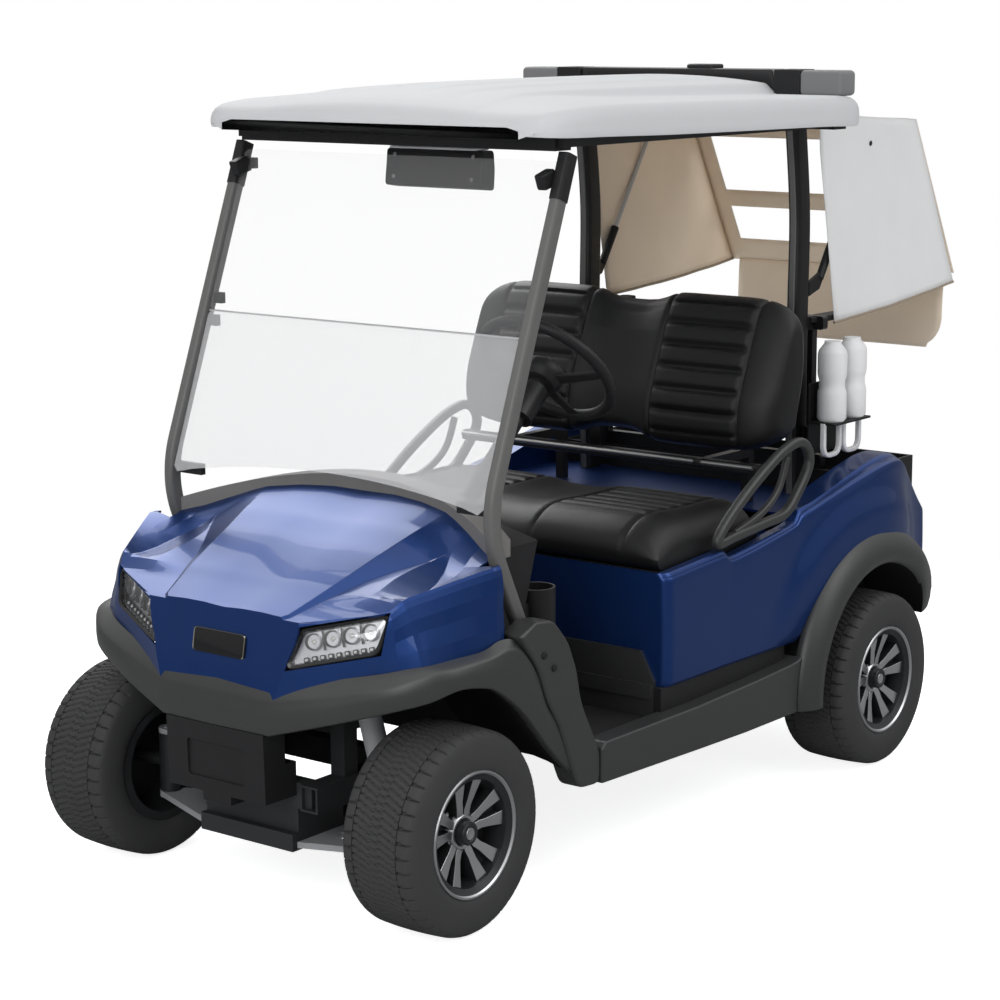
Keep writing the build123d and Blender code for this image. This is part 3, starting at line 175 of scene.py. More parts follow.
def bake(obj, sharp=None):
    """Applies the piece's modifiers."""
    bpy.context.view_layer.update()
    graph = bpy.context.evaluated_depsgraph_get()
    done = bpy.data.meshes.new_from_object(obj.evaluated_get(graph))
    obj.modifiers.clear()
    obj.data = done
    if sharp:
        obj.data.shade_smooth()
        obj.data.set_sharp_from_angle(angle=radians(sharp))
    return obj


def bevel(obj, width, segments=2, angle=30):
    """Rounds the edges that turn by more than angle degrees."""
    mod = obj.modifiers.new("bevel", "BEVEL")
    mod.width = width * MM
    mod.segments = segments
    mod.limit_method = "ANGLE"
    mod.angle_limit = radians(angle)
    mod.harden_normals = True
    return obj


def thicken(obj, t, inner=None):
    """Gives a skin a wall inwards; inner is how much further its inside's material is in the list."""
    mod = obj.modifiers.new("wall", "SOLIDIFY")
    mod.thickness = t * MM
    mod.offset = -1
    if inner is not None:
        mod.material_offset = inner
    return obj


def grid(name, rows, mat, wrap_rows=False, wrap_cols=False, cap=False, **kw):
    """A skin over rows of points."""
    n, m = len(rows), len(rows[0])
    verts = [p for row in rows for p in row]
    faces = []
    for i in range(n if wrap_rows else n - 1):
        for j in range(m if wrap_cols else m - 1):
            a, b = i * m + j, i * m + (j + 1) % m
            c, d = ((i + 1) % n) * m + (j + 1) % m, ((i + 1) % n) * m + j
            faces.append((a, b, c, d))
    if cap:
        faces.append(tuple(range(m)))
        faces.append(tuple((n - 1) * m + j for j in range(m)))
    return make(name, verts, faces, mat, **kw)


def block(name, low, high, mat, edge=0, segs=2, **kw):
    """A solid between two outlines of as many points, with rounded edges."""
    n = len(low)
    faces = [tuple(range(n)), tuple(range(n, 2 * n))]
    faces += [(i, (i + 1) % n, n + (i + 1) % n, n + i) for i in range(n)]
    obj = make(name, low + high, faces, mat, **kw)
    return bevel(obj, edge, segs) if edge else obj


def prism(name, points, place, depth, mat, **kw):
    """points (a, b) laid out by place(a, b, c), from c = 0 to depth."""
    return block(name, layer(place, points, 0), layer(place, points, depth), mat, **kw)


def at_y(y, hand=1):
    """Lays (x, z) out in a side view, from y outwards."""
    return lambda a, b, c: (a, y + hand * c, b)


def at_x(x):
    return lambda a, b, c: (x + c, a, b)


def at_z(z):
    return lambda a, b, c: (a, b, z + c)


def round_rect(w, h, r, cx=0, cy=0):
    """A rectangle's outline with corners of radius r, five steps each."""
    pts = []
    for sx, sy, start in ((1, 1, 0), (-1, 1, 90), (-1, -1, 180), (1, -1, 270)):
        for k in range(6):
            a = radians(start + 18 * k)
            pts.append((cx + sx * (w / 2 - r) + r * cos(a), cy + sy * (h / 2 - r) + r * sin(a)))
    return pts


def ring_points(r, n, cx=0, cy=0):
    return [(cx + r * cos(2 * pi * k / n), cy + r * sin(2 * pi * k / n)) for k in range(n)]


def layer(place, points, c):
    """A flat outline laid out by place at height c."""
    return [place(a, b, c) for a, b in points]


def spin(n, profile, place):
    """Rows round an axis: profile(w) gives (radius, height) pairs at angle w, and place lays them out."""
    rows = []
    for k in range(n):
        w = 2 * pi * k / n
        rows.append([place(r * cos(w), r * sin(w), c) for r, c in profile(w)])
    return rows


def curve(points, n, closed=False):
    """n points on a smooth line through points."""
    pts = [Vector(p) for p in points]
    count = len(pts)
    spans = count if closed else count - 1
    out = []
    for k in range(n):
        t = k * spans / n if closed else k * spans / (n - 1)
        i = min(int(t), spans - 1)
        f = t - i
        get = (lambda j: pts[j % count]) if closed else (lambda j: pts[max(0, min(count - 1, j))])
        a, b, c, d = get(i - 1), get(i), get(i + 1), get(i + 2)
        out.append(0.5 * ((2 * b) + (c - a) * f + (2 * a - 5 * b + 4 * c - d) * f * f
                          + (3 * b - a - 3 * c + d) * f ** 3))
    return out


def fillet_line(points, r, n=8):
    """A run of straight lines with rounded corners."""
    pts = [Vector(p) for p in points]
    out = [pts[0]]
    for a, b, c in zip(pts, pts[1:], pts[2:]):
        u, v = (a - b).normalized(), (c - b).normalized()
        cut = min(r, (a - b).length * 0.49, (c - b).length * 0.49)
        p, q = b + u * cut, b + v * cut
        for k in range(n + 1):
            t = k / n
            out.append(p * (1 - t) ** 2 + b * 2 * t * (1 - t) + q * t * t)
    out.append(pts[-1])
    return out


def sweep(name, path, section, mat, up=(0, 1, 0), closed=False, scale=None, **kw):
    """section (a, b) carried along path: a runs along up, b across it."""
    path = [Vector(p) for p in path]
    up = Vector(up)
    rows = []
    for i, p in enumerate(path):
        if closed:
            t = path[(i + 1) % len(path)] - path[i - 1]
        else:
            t = path[min(i + 1, len(path) - 1)] - path[max(i - 1, 0)]
        t.normalize()
        side = (up - t * up.dot(t)).normalized()
        across = t.cross(side)
        s = scale(i / (len(path) - 1)) if scale else 1
        rows.append([tuple(p + side * a * s + across * b * s) for a, b in section])
    return grid(name, rows, mat, wrap_rows=closed, wrap_cols=True, cap=not closed, **kw)


def tube(name, path, r, mat, n=12, **kw):
    path = [Vector(p) for p in path]
    run = (path[-1] - path[0]).normalized() if (path[-1] - path[0]).length > 1 else Vector((0, 0, 1))
    up = Vector((0, 0, 1)) if abs(run.z) < 0.8 else Vector((0, 1, 0))
    return sweep(name, path, ring_points(r, n), mat, up=up, **kw)


def lathe(name, profile, x, y, mat, n=64, out=1, **kw):
    """profile (offset along the axle, radius) turned about the axle of a wheel at x, y."""
    rows = spin(n, lambda w: [(r, o) for o, r in profile], lambda a, b, c: (x + a, y + out * c, TYRE_R + b))
    return grid(name, rows, mat, wrap_rows=True, **kw)


def join(name, objs):
    """Joins pieces that ride on the same body."""
    base = objs[0]
    bm = bmesh.new()
    mats = []
    for o in objs:
        if o.modifiers:
            bake(o)
        n0 = len(bm.faces)
        bm.from_mesh(o.data)
        bm.faces.ensure_lookup_table()
        for f in bm.faces[n0:]:
            m = o.data.materials[f.material_index]
            if m not in mats:
                mats.append(m)
            f.material_index = mats.index(m)
    mesh = bpy.data.meshes.new(name)
    bm.to_mesh(mesh)
    bm.free()
    for m in mats:
        mesh.materials.append(m)
    base.data = mesh
    base.name = name
    for o in objs[1:]:
        bpy.data.objects.remove(o, do_unlink=True)
    return base


def ease(t):
    """0 to 1 with a soft start and end."""
    t = min(1, max(0, t))
    return t * t * (3 - 2 * t)


def lerp(table, x):
    """Straight-line reading of a table of rows, its first values falling or rising."""
    rows = table if table[0][0] < table[-1][0] else table[::-1]
    if x <= rows[0][0]:
        return rows[0][1:]
    for a, b in zip(rows, rows[1:]):
        if x <= b[0]:
            t = (x - a[0]) / (b[0] - a[0])
            return tuple(p + (q - p) * t for p, q in zip(a[1:], b[1:]))
    return rows[-1][1:]


def smooth(table, x):
    """Like lerp, with a smooth run through the rows."""
    rows = table if table[0][0] < table[-1][0] else table[::-1]
    x = max(rows[0][0], min(rows[-1][0], x))
    for i, (a, b) in enumerate(zip(rows, rows[1:])):
        if x <= b[0]:
            h = b[0] - a[0]
            t = (x - a[0]) / h
            before = rows[i - 1] if i else a
            after = rows[i + 2] if i + 2 < len(rows) else b
            out = []
            for k in range(1, len(a)):
                sa = (b[k] - before[k]) / (b[0] - before[0])
                sb = (after[k] - a[k]) / (after[0] - a[0])
                out.append((2 * t ** 3 - 3 * t * t + 1) * a[k] + (t ** 3 - 2 * t * t + t) * h * sa
                           + (3 * t * t - 2 * t ** 3) * b[k] + (t ** 3 - t * t) * h * sb)
            return tuple(out)
    return rows[-1][1:]


def repaint(mat, edge, names):
    """CAD nodes keep their shape, and get a finish and softly rounded edges."""
    for name in names:
        obj = NODES[name]
        obj.data.materials.clear()
        obj.data.materials.append(mat)
        flat = obj.modifiers.new("flat", "DECIMATE")
        flat.decimate_type = "DISSOLVE"
        flat.angle_limit = radians(2)
        bevel(obj, edge, 2, 35)


# ---------------------------------------------------------------- wheels
TREAD = [(-98, 150), (-101, 170), (-100, 190), (-97, 206), (-94, 214), (-90, 220), (-83, 224.5), (-76, 226.5)]
LUGS, LUG_STEPS = 44, 10                  # lugs round a tyre, and points round one lug


def tread_cut(o, turn_part):
    """How deep the tread is cut at offset o, at turn_part of a lug's pitch, from 0 to 1."""
    a = abs(o)
    if 59 < a < 61 or 38.5 < a < 40.5 or 13.5 < a < 15.5:
        return 6
    if a >= 61:
        lean = (turn_part + 0.10 * sin((a - 61) / 14)) % 1
        depth = 5 if a < 88 else 3.5 if a < 94 else 0
        return depth if lean < 0.17 else 0
    slant = (2 * turn_part + (0.35 if o > 0 else -0.35) * a / 60 * 4) % 1
    if a < 13:
        slant = (2 * turn_part + 0.5 + o / 60) % 1
    return 4 if slant < 0.2 else 0


def tyre(name, x, y, out, body):
    profile = [(-88, 127), (-90, 139), (-93, 143)] + TREAD
    middle = []
    for o in (-73, -68, -64, -61.2, -60.8, -59.2, -58.8, -52, -46, -41, -40.6, -38.4, -38, -30, -22,
              -16, -15.6, -13.4, -13, -8, -3):
        middle.append((o, TYRE_R - 3 * (abs(o) / 76) ** 2))
    half = profile + middle
    full = half + [(-o, r) for o, r in half[::-1]]
    steps = LUGS * LUG_STEPS
    rows = []
    for k in range(steps):
        a = 2 * pi * k / steps
        row = []
        for o, r in full:
            if abs(o) < 96 and r > 205:
                r -= tread_cut(o, (k % LUG_STEPS) / LUG_STEPS)
            row.append((x + r * cos(a), y + out * o, TYRE_R + r * sin(a)))
        rows.append(row)
    return grid(name, rows, RUBBER, wrap_rows=True, body=body, slot="tyre", sharp=28)


def spoke_place(x, y, out, a0):
    def place(a, b, c):
        """a outwards from the axle, b round it, c outboard."""
        ca, sa = cos(a0), sin(a0)
        return (x + a * ca - b * sa, y + out * c, TYRE_R + a * sa + b * ca)
    return place


def wedge(name, outline, place, low, high, **kw):
    """A plate with a sloping outer face, high(a) at a from the axle."""
    outer = [place(a, b, high(a)) for a, b in outline]
    return block(name, layer(place, outline, low), outer, DARK_ALLOY, **kw)


def rim(name, x, y, out, body):
    parts = []
    lip = [(-95, 121), (-95, 141), (-89, 141), (-89, 127), (-60, 126), (-40, 120), (40, 120), (60, 124),
           (88, 127), (89, 141), (93, 142), (96, 140), (96, 136), (92, 133), (86, 121.5), (84, 119.5),
           (60, 117), (40, 114), (-40, 114), (-60, 119), (-95, 121)]
    barrel = lathe("barrel", lip, x, y, DARK_ALLOY, out=out, n=96, body=body,
                   mats=[DARK_ALLOY, MACHINED])
    for p in barrel.data.polygons:
        if (p.center.y / MM - y) * out > 91.5:
            p.material_index = 1
    parts.append(barrel)
    bowl = [(30, 0.1), (30, 30), (34, 60), (30, 119), (22, 119), (22, 0.1)]
    parts.append(lathe("bowl", bowl, x, y, DARK_ALLOY, out=out, n=64, body=body))
    for k in range(5):
        a0 = radians(90 + 72 * k)
        place = spoke_place(x, y, out, a0)
        for s in (1, -1):
            # one leg of a split spoke: it leaves the hub ring and splits towards the lip
            leg = [(33, s * 1.5), (50, s * 2), (72, s * 8), (118, s * 14), (110, s * 46), (84, s * 35),
                   (58, s * 25), (36, s * 21)]
            leg = wedge("leg", leg, place, 30, lambda a: 60 + 18 * ((a - 33) / 86) ** 1.3, body=body,
                        mats=[DARK_ALLOY, MACHINED])
            for p in leg.data.polygons:
                if p.normal.y * out > 0.7:
                    p.material_index = 1
            parts.append(bevel(leg, 1.6))
        web = [(40, -8), (60, -7), (88, -15), (112, -24), (112, 24), (88, 15), (60, 7), (40, 8)]
        parts.append(wedge("web", web, place, 30, lambda a: 44 + (a - 40) * 0.2, body=body, edge=2))
        at = spoke_place(x, y, out, a0 + radians(36))
        parts.append(prism("nut", ring_points(6.5, 6, 42), lambda a, b, c, at=at: at(a, b, 44 + c), 12, STEEL,
                           body=body, edge=1))
    ring = [(44, 26), (58, 27), (62, 32), (62, 37), (58, 41), (40, 47), (36, 52), (30, 52), (30, 26)]
    parts.append(lathe("hub_ring", ring + [ring[0]], x, y, MACHINED, out=out, n=64, body=body))
    cap = [(50, 0.1), (50, 26.4), (78, 26), (81, 24), (82, 20), (81.5, 17), (79.5, 15), (79, 0.1)]
    parts.append(lathe("cap", cap, x, y, DARK_ALLOY, out=out, n=64, body=body))
    face = [(79, 0.1), (80.4, 12), (80.6, 13), (79, 14)]
    parts.append(lathe("cap_face", face, x, y, MACHINED, out=out, n=48, body=body))
    obj = join(name, parts)
    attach(obj, body)
    return obj


WHEELS = (("fl", AF, 462, 1), ("fr", AF, -462, -1), ("rl", AR, 523, 1), ("rr", AR, -523, -1))
for tag, wx, wy, out in WHEELS:
    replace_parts(tyre(f"tread_{tag}", wx, wy, out, f"wheel_{tag}"), f"tyre_{tag}")
    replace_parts(rim(f"wheel_disc_{tag}", wx, wy, out, f"wheel_{tag}"), f"rim_{tag}")

# ---------------------------------------------------------------- front cowl
NOSE_LEAN, NOSE_X, NOSE_Z = 0.172, AF + 207, 534
COWL = [  # x from the front axle, middle z, then y and z of panel crease, trough, shoulder and flank
    (213, 676, 120, 677, 130, 672, 150, 672, 165, 508),
    (173, 691, 181, 692, 187, 687, 241, 687, 260, 536),
    (103, 718, 199, 721, 212, 711, 400, 713, 425, 585),
    (69, 733, 208, 736, 226, 723, 422, 742, 478, 600),
    (-3, 761, 222, 764, 254, 745, 461, 762, 499, 605),
    (-60, 783, 232, 786, 288, 761, 491, 778, 515, 609),
    (-114, 803, 242, 806, 325, 775, 520, 791, 530, 612),
    (-165, 823, 253, 826, 353, 792, 523, 793, 532, 612),
    (-195, 833, 258, 836, 330, 816, 524, 794, 533, 612),
    (-222, 843, 264, 846, 312, 838, 526, 795, 534, 612),
    (-320, 880, 283, 883, 300, 880, 532, 800, 538, 612),
]
SCOOP = [  # the second sunk facet: x, inner and outer y, how far the outer side is sunk
    (72, 328, 392, 0), (56, 327, 410, 12), (27, 323, 412, 22), (-22, 316, 407, 27), (-71, 318, 400, 25),
    (-109, 327, 386, 18), (-150, 345, 366, 7), (-165, 355, 360, 0),
]
HOOD_REAR, HOOD_SWEEP, HOOD_HALF = AF - 301, 195, 560


def hood_limit(y):
    """x of the hood's rear edge at y, an arc across the hood."""
    r = (HOOD_HALF ** 2 + HOOD_SWEEP ** 2) / (2 * HOOD_SWEEP)
    return HOOD_REAR + r - sqrt(max(r * r - y * y, 0))


def hood_line(dx):
    """Break points (y, z) across one half of the hood, from the middle to the shoulder."""
    mid, ya, za, yb, zb, ys, zs, _, _ = lerp(COWL, dx)
    inner, outer, sunk = lerp(SCOOP, dx)
    inner = max(yb + 2, min(inner, yb + (ys - yb) * 0.45))
    outer = max(inner + 2, min(outer, yb + (ys - yb) * 0.9))

    def plain(y):
        return zb + (zs - zb) * (y - yb) / (ys - yb)

    return [(0, mid), (ya, za), (yb, zb), (inner, plain(inner)), (outer, plain(outer) - sunk), (ys, zs)]


HOOD_NOSE = COWL[0][0]
CREASE = 1.4                              # half width of a rounded crease
HOOD_COLUMNS = [(0, 0), (0, 1 / 3), (0, 2 / 3)]         # break point, then share of the way to the next
for k in range(1, 5):
    HOOD_COLUMNS += [(k, -CREASE), (k, CREASE), (k, 0.35), (k, 0.65)]
HOOD_COLUMNS += [(5, -CREASE * 2), (5, 0)]


def hood_point(dx, k, t):
    """A point of the hood at break point k: t below 1 is a share of the way on, past it a distance."""
    line = hood_line(dx)
    (ya, za), (yb, zb) = line[k], line[min(k + 1, 5)]
    if t < 0:
        y0, z0 = line[k - 1]
        f = min(0.5, -t / max(ya - y0, 1))
        return ya + (y0 - ya) * f, za + (z0 - za) * f
    if t >= 1:
        t = min(0.3, t / max(yb - ya, 1))
    crown = 3 * 4 * t * (1 - t) if k == 0 else 0
    return ya + (yb - ya) * t, za + (zb - za) * t + crown


def cowl_half(u):
    """One row of the hood, u from 0 at the nose to 1 at the rear edge."""
    row = []
    for k, t in HOOD_COLUMNS:
        y = 200.0
        for _ in range(6):                # y and the rear edge's x depend on each other
            dx = HOOD_NOSE + u * (hood_limit(y) - AF - HOOD_NOSE)
            y, z = hood_point(dx, k, t)
        row.append((AF + dx, y, z, dx))
    dx = row[-1][3]
    ys, zs, fy, fz = lerp(COWL, dx)[5:]
    for t in (0.04, 0.12, 0.3, 0.5, 0.75, 1.0):
        bulge = 7 * sin(pi * min(1, t * 1.6) ** 0.7) if t < 0.6 else 5 * sin(pi * t)
        row.append((AF + dx, ys + (fy - ys) * t + bulge, zs + (fz - zs) * t, dx))
    return [r[:3] for r in row]


# headlamp openings: along the glass outwards, out of the glass, and the middle of the left one
LAMP_T = Vector((-79.5, 200.5, 48)).normalized()
LAMP_N = Vector((0.9215, 0.309, 0.2345)).normalized()
LAMP_AT = Vector((AF + 143, 299, 645))
LAMP_L, LAMP_H, LAMP_SKEW = 221, 85, 19


def lamp_frame(hand):
    """Middle, direction outwards along the glass, direction up it, and direction out of it."""
    at, t, n = (Vector((v.x, v.y * hand, v.z)) for v in (LAMP_AT, LAMP_T, LAMP_N))
    return at, t, n.cross(t) * hand, n


def lamp_place(hand):
    at, t, up, n = lamp_frame(hand)
    return lambda a, b, c: tuple(at + t * a + up * b + n * c)


def lamp_shape(grow, r=12):
    """The lamp's leaning four-sided outline with rounded corners."""
    along, up = LAMP_L / 2 + grow, LAMP_H / 2 + grow
    corners = [Vector((sx * along + sy * LAMP_SKEW, sy * up, 0))
               for sx, sy in ((-1, -1), (1, -1), (1, 1), (-1, 1))]
    out = []
    for i in range(4):
        a, b, c = corners[i - 1], corners[i], corners[(i + 1) % 4]
        u, v = (a - b).normalized(), (c - b).normalized()
        for t in (0, 0.25, 0.5, 0.75, 1):
            q = (b + u * r) * (1 - t) ** 2 + b * 2 * t * (1 - t) + (b + v * r) * t * t
            out.append((q.x, q.y))
    return out


def cut_away(obj, cutter):
    mod = obj.modifiers.new("cut", "BOOLEAN")
    mod.operation = "DIFFERENCE"
    mod.object = cutter
    mod.solver = "EXACT"
    bake(obj, 24)
    bpy.data.objects.remove(cutter, do_unlink=True)


rows = []
for k in range(45):
    half = cowl_half(k / 44)
    rows.append([(x, -y, z) for x, y, z in half[::-1]] + half[1:])
cowl = grid("hood", rows, BLUE, slot="body_blue", sharp=20)


def slice_faces(bm, near, point, normal):
    """Cuts the faces for which near(centre) is true along a plane."""
    faces = [f for f in bm.faces if near(f.calc_center_median())]
    edges = {e for f in faces for e in f.edges}
    verts = {v for f in faces for v in f.verts}
    bmesh.ops.bisect_plane(bm, geom=list(verts) + list(edges) + faces, plane_co=Vector(point) * MM,
                           plane_no=Vector(normal).normalized())


STRUT_SLOT, SLOT_END = (467.5, 510.5), AF - 128         # slots in the hood for the struts
bm = bmesh.new()
bm.from_mesh(cowl.data)
cut = bmesh.ops.bisect_plane(bm, geom=bm.verts[:] + bm.edges[:] + bm.faces[:],
                             plane_co=Vector((NOSE_X, 0, NOSE_Z)) * MM,
                             plane_no=Vector((1, 0, NOSE_LEAN)).normalized(), clear_outer=True)
rim_verts = sorted((v for v in cut["geom_cut"] if isinstance(v, bmesh.types.BMVert)),
                   key=lambda v: atan2(v.co.z - 0.60, v.co.y))
bm.faces.new(rim_verts)
bmesh.ops.recalc_face_normals(bm, faces=bm.faces)
if sum(f.normal.z * f.calc_area() for f in bm.faces) < 0:
    bmesh.ops.reverse_faces(bm, faces=bm.faces)
for hand in (1, -1):
    at, t, up, n = lamp_frame(hand)

    def by_lamp(c):
        return (c / MM - at).length < 230 and abs((c / MM - at).dot(n)) < 60 and c.y * hand > 0

    lean = (t * 2 * LAMP_SKEW + up * LAMP_H).normalized()
    for side, reach, normal in ((up, LAMP_H / 2 + 1, up), (t, LAMP_L / 2 + 1, lean.cross(n))):
        slice_faces(bm, by_lamp, at + side * reach, normal)
        slice_faces(bm, by_lamp, at - side * reach, normal)
    gone = []
    for f in bm.faces:
        c = f.calc_center_median() / MM - at
        b = c.dot(up)
        a = c.dot(t) - b * 2 * LAMP_SKEW / LAMP_H
        inside = abs(b) < LAMP_H / 2 + 1 and abs(a) < LAMP_L / 2 + 1 and abs(c.dot(n)) < 60
        if inside and by_lamp(c * MM + at * MM):
            gone.append(f)
    bmesh.ops.delete(bm, geom=gone, context="FACES")

    def by_strut(c):
        return c.y * hand > 0.44 and AF - 340 < c.x / MM < AF - 100

    for y in STRUT_SLOT:
        slice_faces(bm, by_strut, (0, hand * y, 0), (0, 1, 0))
    slice_faces(bm, by_strut, (SLOT_END, 0, 0), (1, 0, 0))
    gone = [f for f in bm.faces if STRUT_SLOT[0] < f.calc_center_median().y * hand / MM < STRUT_SLOT[1]
            and f.calc_center_median().x / MM < SLOT_END]
    bmesh.ops.delete(bm, geom=gone, context="FACES")
bm.to_mesh(cowl.data)
bm.free()
thicken(cowl, 5)
bake(cowl)
cowl.data.shade_smooth()
cowl.data.set_sharp_from_angle(angle=radians(6))
bevel(cowl, 2.5, 2, 40)
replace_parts(cowl, "front_cowl")

for hand, side in SIDES:
    place = lamp_place(hand)
    # the bezel's outlines: growth, corner radius and height out of the glass
    rows = [layer(place, lamp_shape(grow, r), c) for grow, r, c in (
        (-1, 20, -20), (-1, 20, 3), (-3, 19, 5), (-9, 17, 3), (-10, 17, -4), (-14, 14, -38), (-30, 6, -44))]
    shell = grid(f"lamp_bezel_{side}", rows, LAMP_BLACK, wrap_cols=True, slot="lamp_body", sharp=40)
    back = make("lamp_back", rows[-1], [tuple(range(len(rows[-1])))], LAMP_BLACK)
    shell = join(f"lamp_bezel_{side}", [shell, back])
    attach(shell, "chassis")
    parts = []
    # four projector cells over a row of small lights
    for k in range(4):
        cx, cy = -60 + 44 * k, 10
        rings = [layer(place, ring_points(r, 28, cx, cy), c) for r, c in (
            (19, -15), (19, -7), (17.5, -6), (16, -8), (13.5, -24), (4, -26))]
        cell = grid("cell", rings, MIRROR, wrap_cols=True, cap=True, mats=[MIRROR, LAMP_BLACK])
        for p in cell.data.polygons[56:112]:
            p.material_index = 1
        parts.append(cell)
        dome = []
        for i in range(6):
            t = i / 5 * pi / 2
            dome.append(layer(place, ring_points(9 * cos(t), 20, cx, cy), -24 + 12 * sin(t)))
        parts.append(grid("dome", dome, LED, wrap_cols=True))
        bar = [(cx + 22, -12), (cx + 25, -12), (cx + 25, 30), (cx + 22, 30)]
        if k < 3:
            parts.append(prism("cell_bar", bar, lambda a, b, c: place(a, b, c - 16), 8, LAMP_BLACK, edge=0.8))
    for k in range(9):
        cx = -82 + 19 * k
        cup = round_rect(13, 11, 3, cx, -26)
        parts.append(prism("led_cup", cup, lambda a, b, c: place(a, b, c - 16), 5, LAMP_BLACK, edge=1))
        light = round_rect(7, 6, 2, cx, -26)
        parts.append(prism("led", light, lambda a, b, c: place(a, b, c - 12), 3, LED, edge=0.8))
    tray = layer(place, lamp_shape(-12, 8), -17)
    parts.append(make("lamp_tray", tray, [tuple(range(len(tray)))], MIRROR))
    optics = join(f"lamp_optics_{side}", parts)
    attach(optics, "chassis")
    rows = [layer(place, lamp_shape(g, 16), c) for g, c in ((-10, -5), (-10, -1), (-14, 0.6), (-30, 1.4))]
    lens = grid(f"lamp_lens_{side}", rows, LENS, wrap_cols=True, cap=True, slot="lamp_lens")
    if hand > 0:
        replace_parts(shell, "headlamp_housings")
        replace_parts(lens, "headlamp_lenses")

# blank nose plate with a thin bright frame
NOSE_MID = 610                            # z of the plate's middle


def nose_place(a, b, c):
    z = NOSE_MID + b * cos(atan2(NOSE_LEAN, 1))
    return (NOSE_X - (z - NOSE_Z) * NOSE_LEAN + c, a, z + c * NOSE_LEAN)


rows = [layer(nose_place, round_rect(w, h, r), c) for w, h, r, c in (
    (156, 54, 9, 0.3), (156, 54, 9, 3.5), (153, 51, 8, 5), (150, 48, 7, 5), (149, 47, 6.5, 4),
    (147, 45, 6, 4.2))]
plate = grid("nose_badge", rows, LAMP_BLACK, wrap_cols=True, cap=True, slot="black_plastic",
             mats=[LAMP_BLACK, LIGHT_EDGE])
for p in plate.data.polygons:
    corners = [plate.data.vertices[i].co for i in p.vertices]
    w = max(abs(v.y) for v in corners)
    h = max(abs(v.z - NOSE_MID * MM) for v in corners)
    if len(p.vertices) == 4 and (w > 0.0748 or h > 0.0238) and p.center.x > 0:
        inner = max(w / 0.0765, h / 0.0255)
        if 0.975 < inner < 1.005:
            p.material_index = 1
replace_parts(plate, "nose_plate")

# ---------------------------------------------------------------- front fender and bumper band
BAND = [  # cowl edge, outer edge and lower edge of the band, (x from the front axle, y, z) each
    ((207, 0, 534), (218, 0, 503), (219, 0, 431)),
    ((205, 158, 534), (216, 158, 503), (217, 158, 431)),
    ((163, 275, 560), (178, 300, 528), (180, 304, 472)),
    ((120, 395, 585), (140, 428, 558), (131, 442, 513)),
    ((90, 447, 598), (103, 484, 580), (85, 504, 533)),
    ((60, 483, 605), (62, 522, 594), (34, 540, 554)),
    ((0, 508, 612), (0, 543, 600), (-15, 550, 551)),
    ((-70, 526, 617), (-66, 553, 603), (-72, 556, 536)),
    ((-118, 534, 632), (-125, 558, 610), (-142, 560, 487)),
    ((-160, 545, 622), (-172, 560, 592), (-190, 560, 442)),
    ((-213, 548, 551), (-216, 560, 540), (-246, 560, 380)),
    ((-249, 548, 471), (-252, 560, 462), (-290, 558, 338)),
    ((-293, 548, 404), (-296, 560, 398), (-325, 556, 306)),
    ((-342, 548, 292), (-342, 558, 291), (-343, 556, 289)),
]


def band_section(u, m, lo, inward):
    """Across the band: tucked under the cowl, over the rounded shoulder, down to the rolled lower lip."""
    u, m, lo, inward = Vector(u), Vector(m), Vector(lo), Vector(inward)
    out = [u + inward * 14 - Vector((0, 0, 6)), u]
    for t in (0.35, 0.7, 0.86):
        out.append(u.lerp(m, t) + Vector((0, 0, 1.5 * sin(pi * t))))
    top, low = u.lerp(m, 0.86), m.lerp(lo, 0.2)
    for t in (0.25, 0.5, 0.75):
        out.append(top * (1 - t) ** 2 + m * 2 * t * (1 - t) + low * t * t)
    for t in (0.2, 0.4, 0.6, 0.8, 0.95):
        out.append(m.lerp(lo, t) - inward * 2.5 * sin(pi * t))
    out += [lo, lo + inward * 5 - Vector((0, 0, 3)), lo + inward * 22, lo + inward * 24 + Vector((0, 0, 8))]
    return [tuple(p) for p in out]


halfway = [(Vector(a) + Vector(b)) / 2 for a, b in zip(BAND[0], BAND[1])]
stations = [BAND[0], halfway, *zip(*(curve([b[k] for b in BAND[1:]], 60) for k in range(3)))]
rows = []
for i, (u, m, lo) in enumerate(stations):
    after, before = stations[min(i + 1, len(stations) - 1)], stations[max(i - 1, 0)]
    run = Vector(after[2]) - Vector(before[2])
    if i <= 1:
        inward = Vector((-1, 0, 0))
    else:
        inward = Vector((-run.y, run.x, 0)).normalized()
        if inward.y > 0 and lo[1] > 200:
            inward = -inward
        if i == 2:
            inward = (inward + Vector((-1, 0, 0))).normalized()
    rows.append([(AF + x, y, z) for x, y, z in band_section(u, m, lo, inward)])
rows = [[(x, -y, z) for x, y, z in row] for row in rows[:0:-1]] + rows
fender = grid("fender_band", rows, TRIM, slot="trim_grey", sharp=26)
thicken(fender, 4)
bake(fender, 26)
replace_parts(fender, "front_fender")

# arch liner behind the front wheels, seen over the tyres
for hand, side in SIDES:
    rows = []
    for _, _, (x, y, z) in stations[24:]:
        rows.append([(AF + x, hand * (y - 24), z + 4), (AF + x * 0.99, hand * (y - 60), z + 16),
                     (AF + x * 0.98, hand * 420, min(z + 30, 560)),
                     (AF + x * 0.97, hand * 300, min(z + 36, 560))])
    liner = grid(f"arch_liner_{side}", rows, LINER, slot="black_plastic", sharp=40)
    thicken(liner, 3)

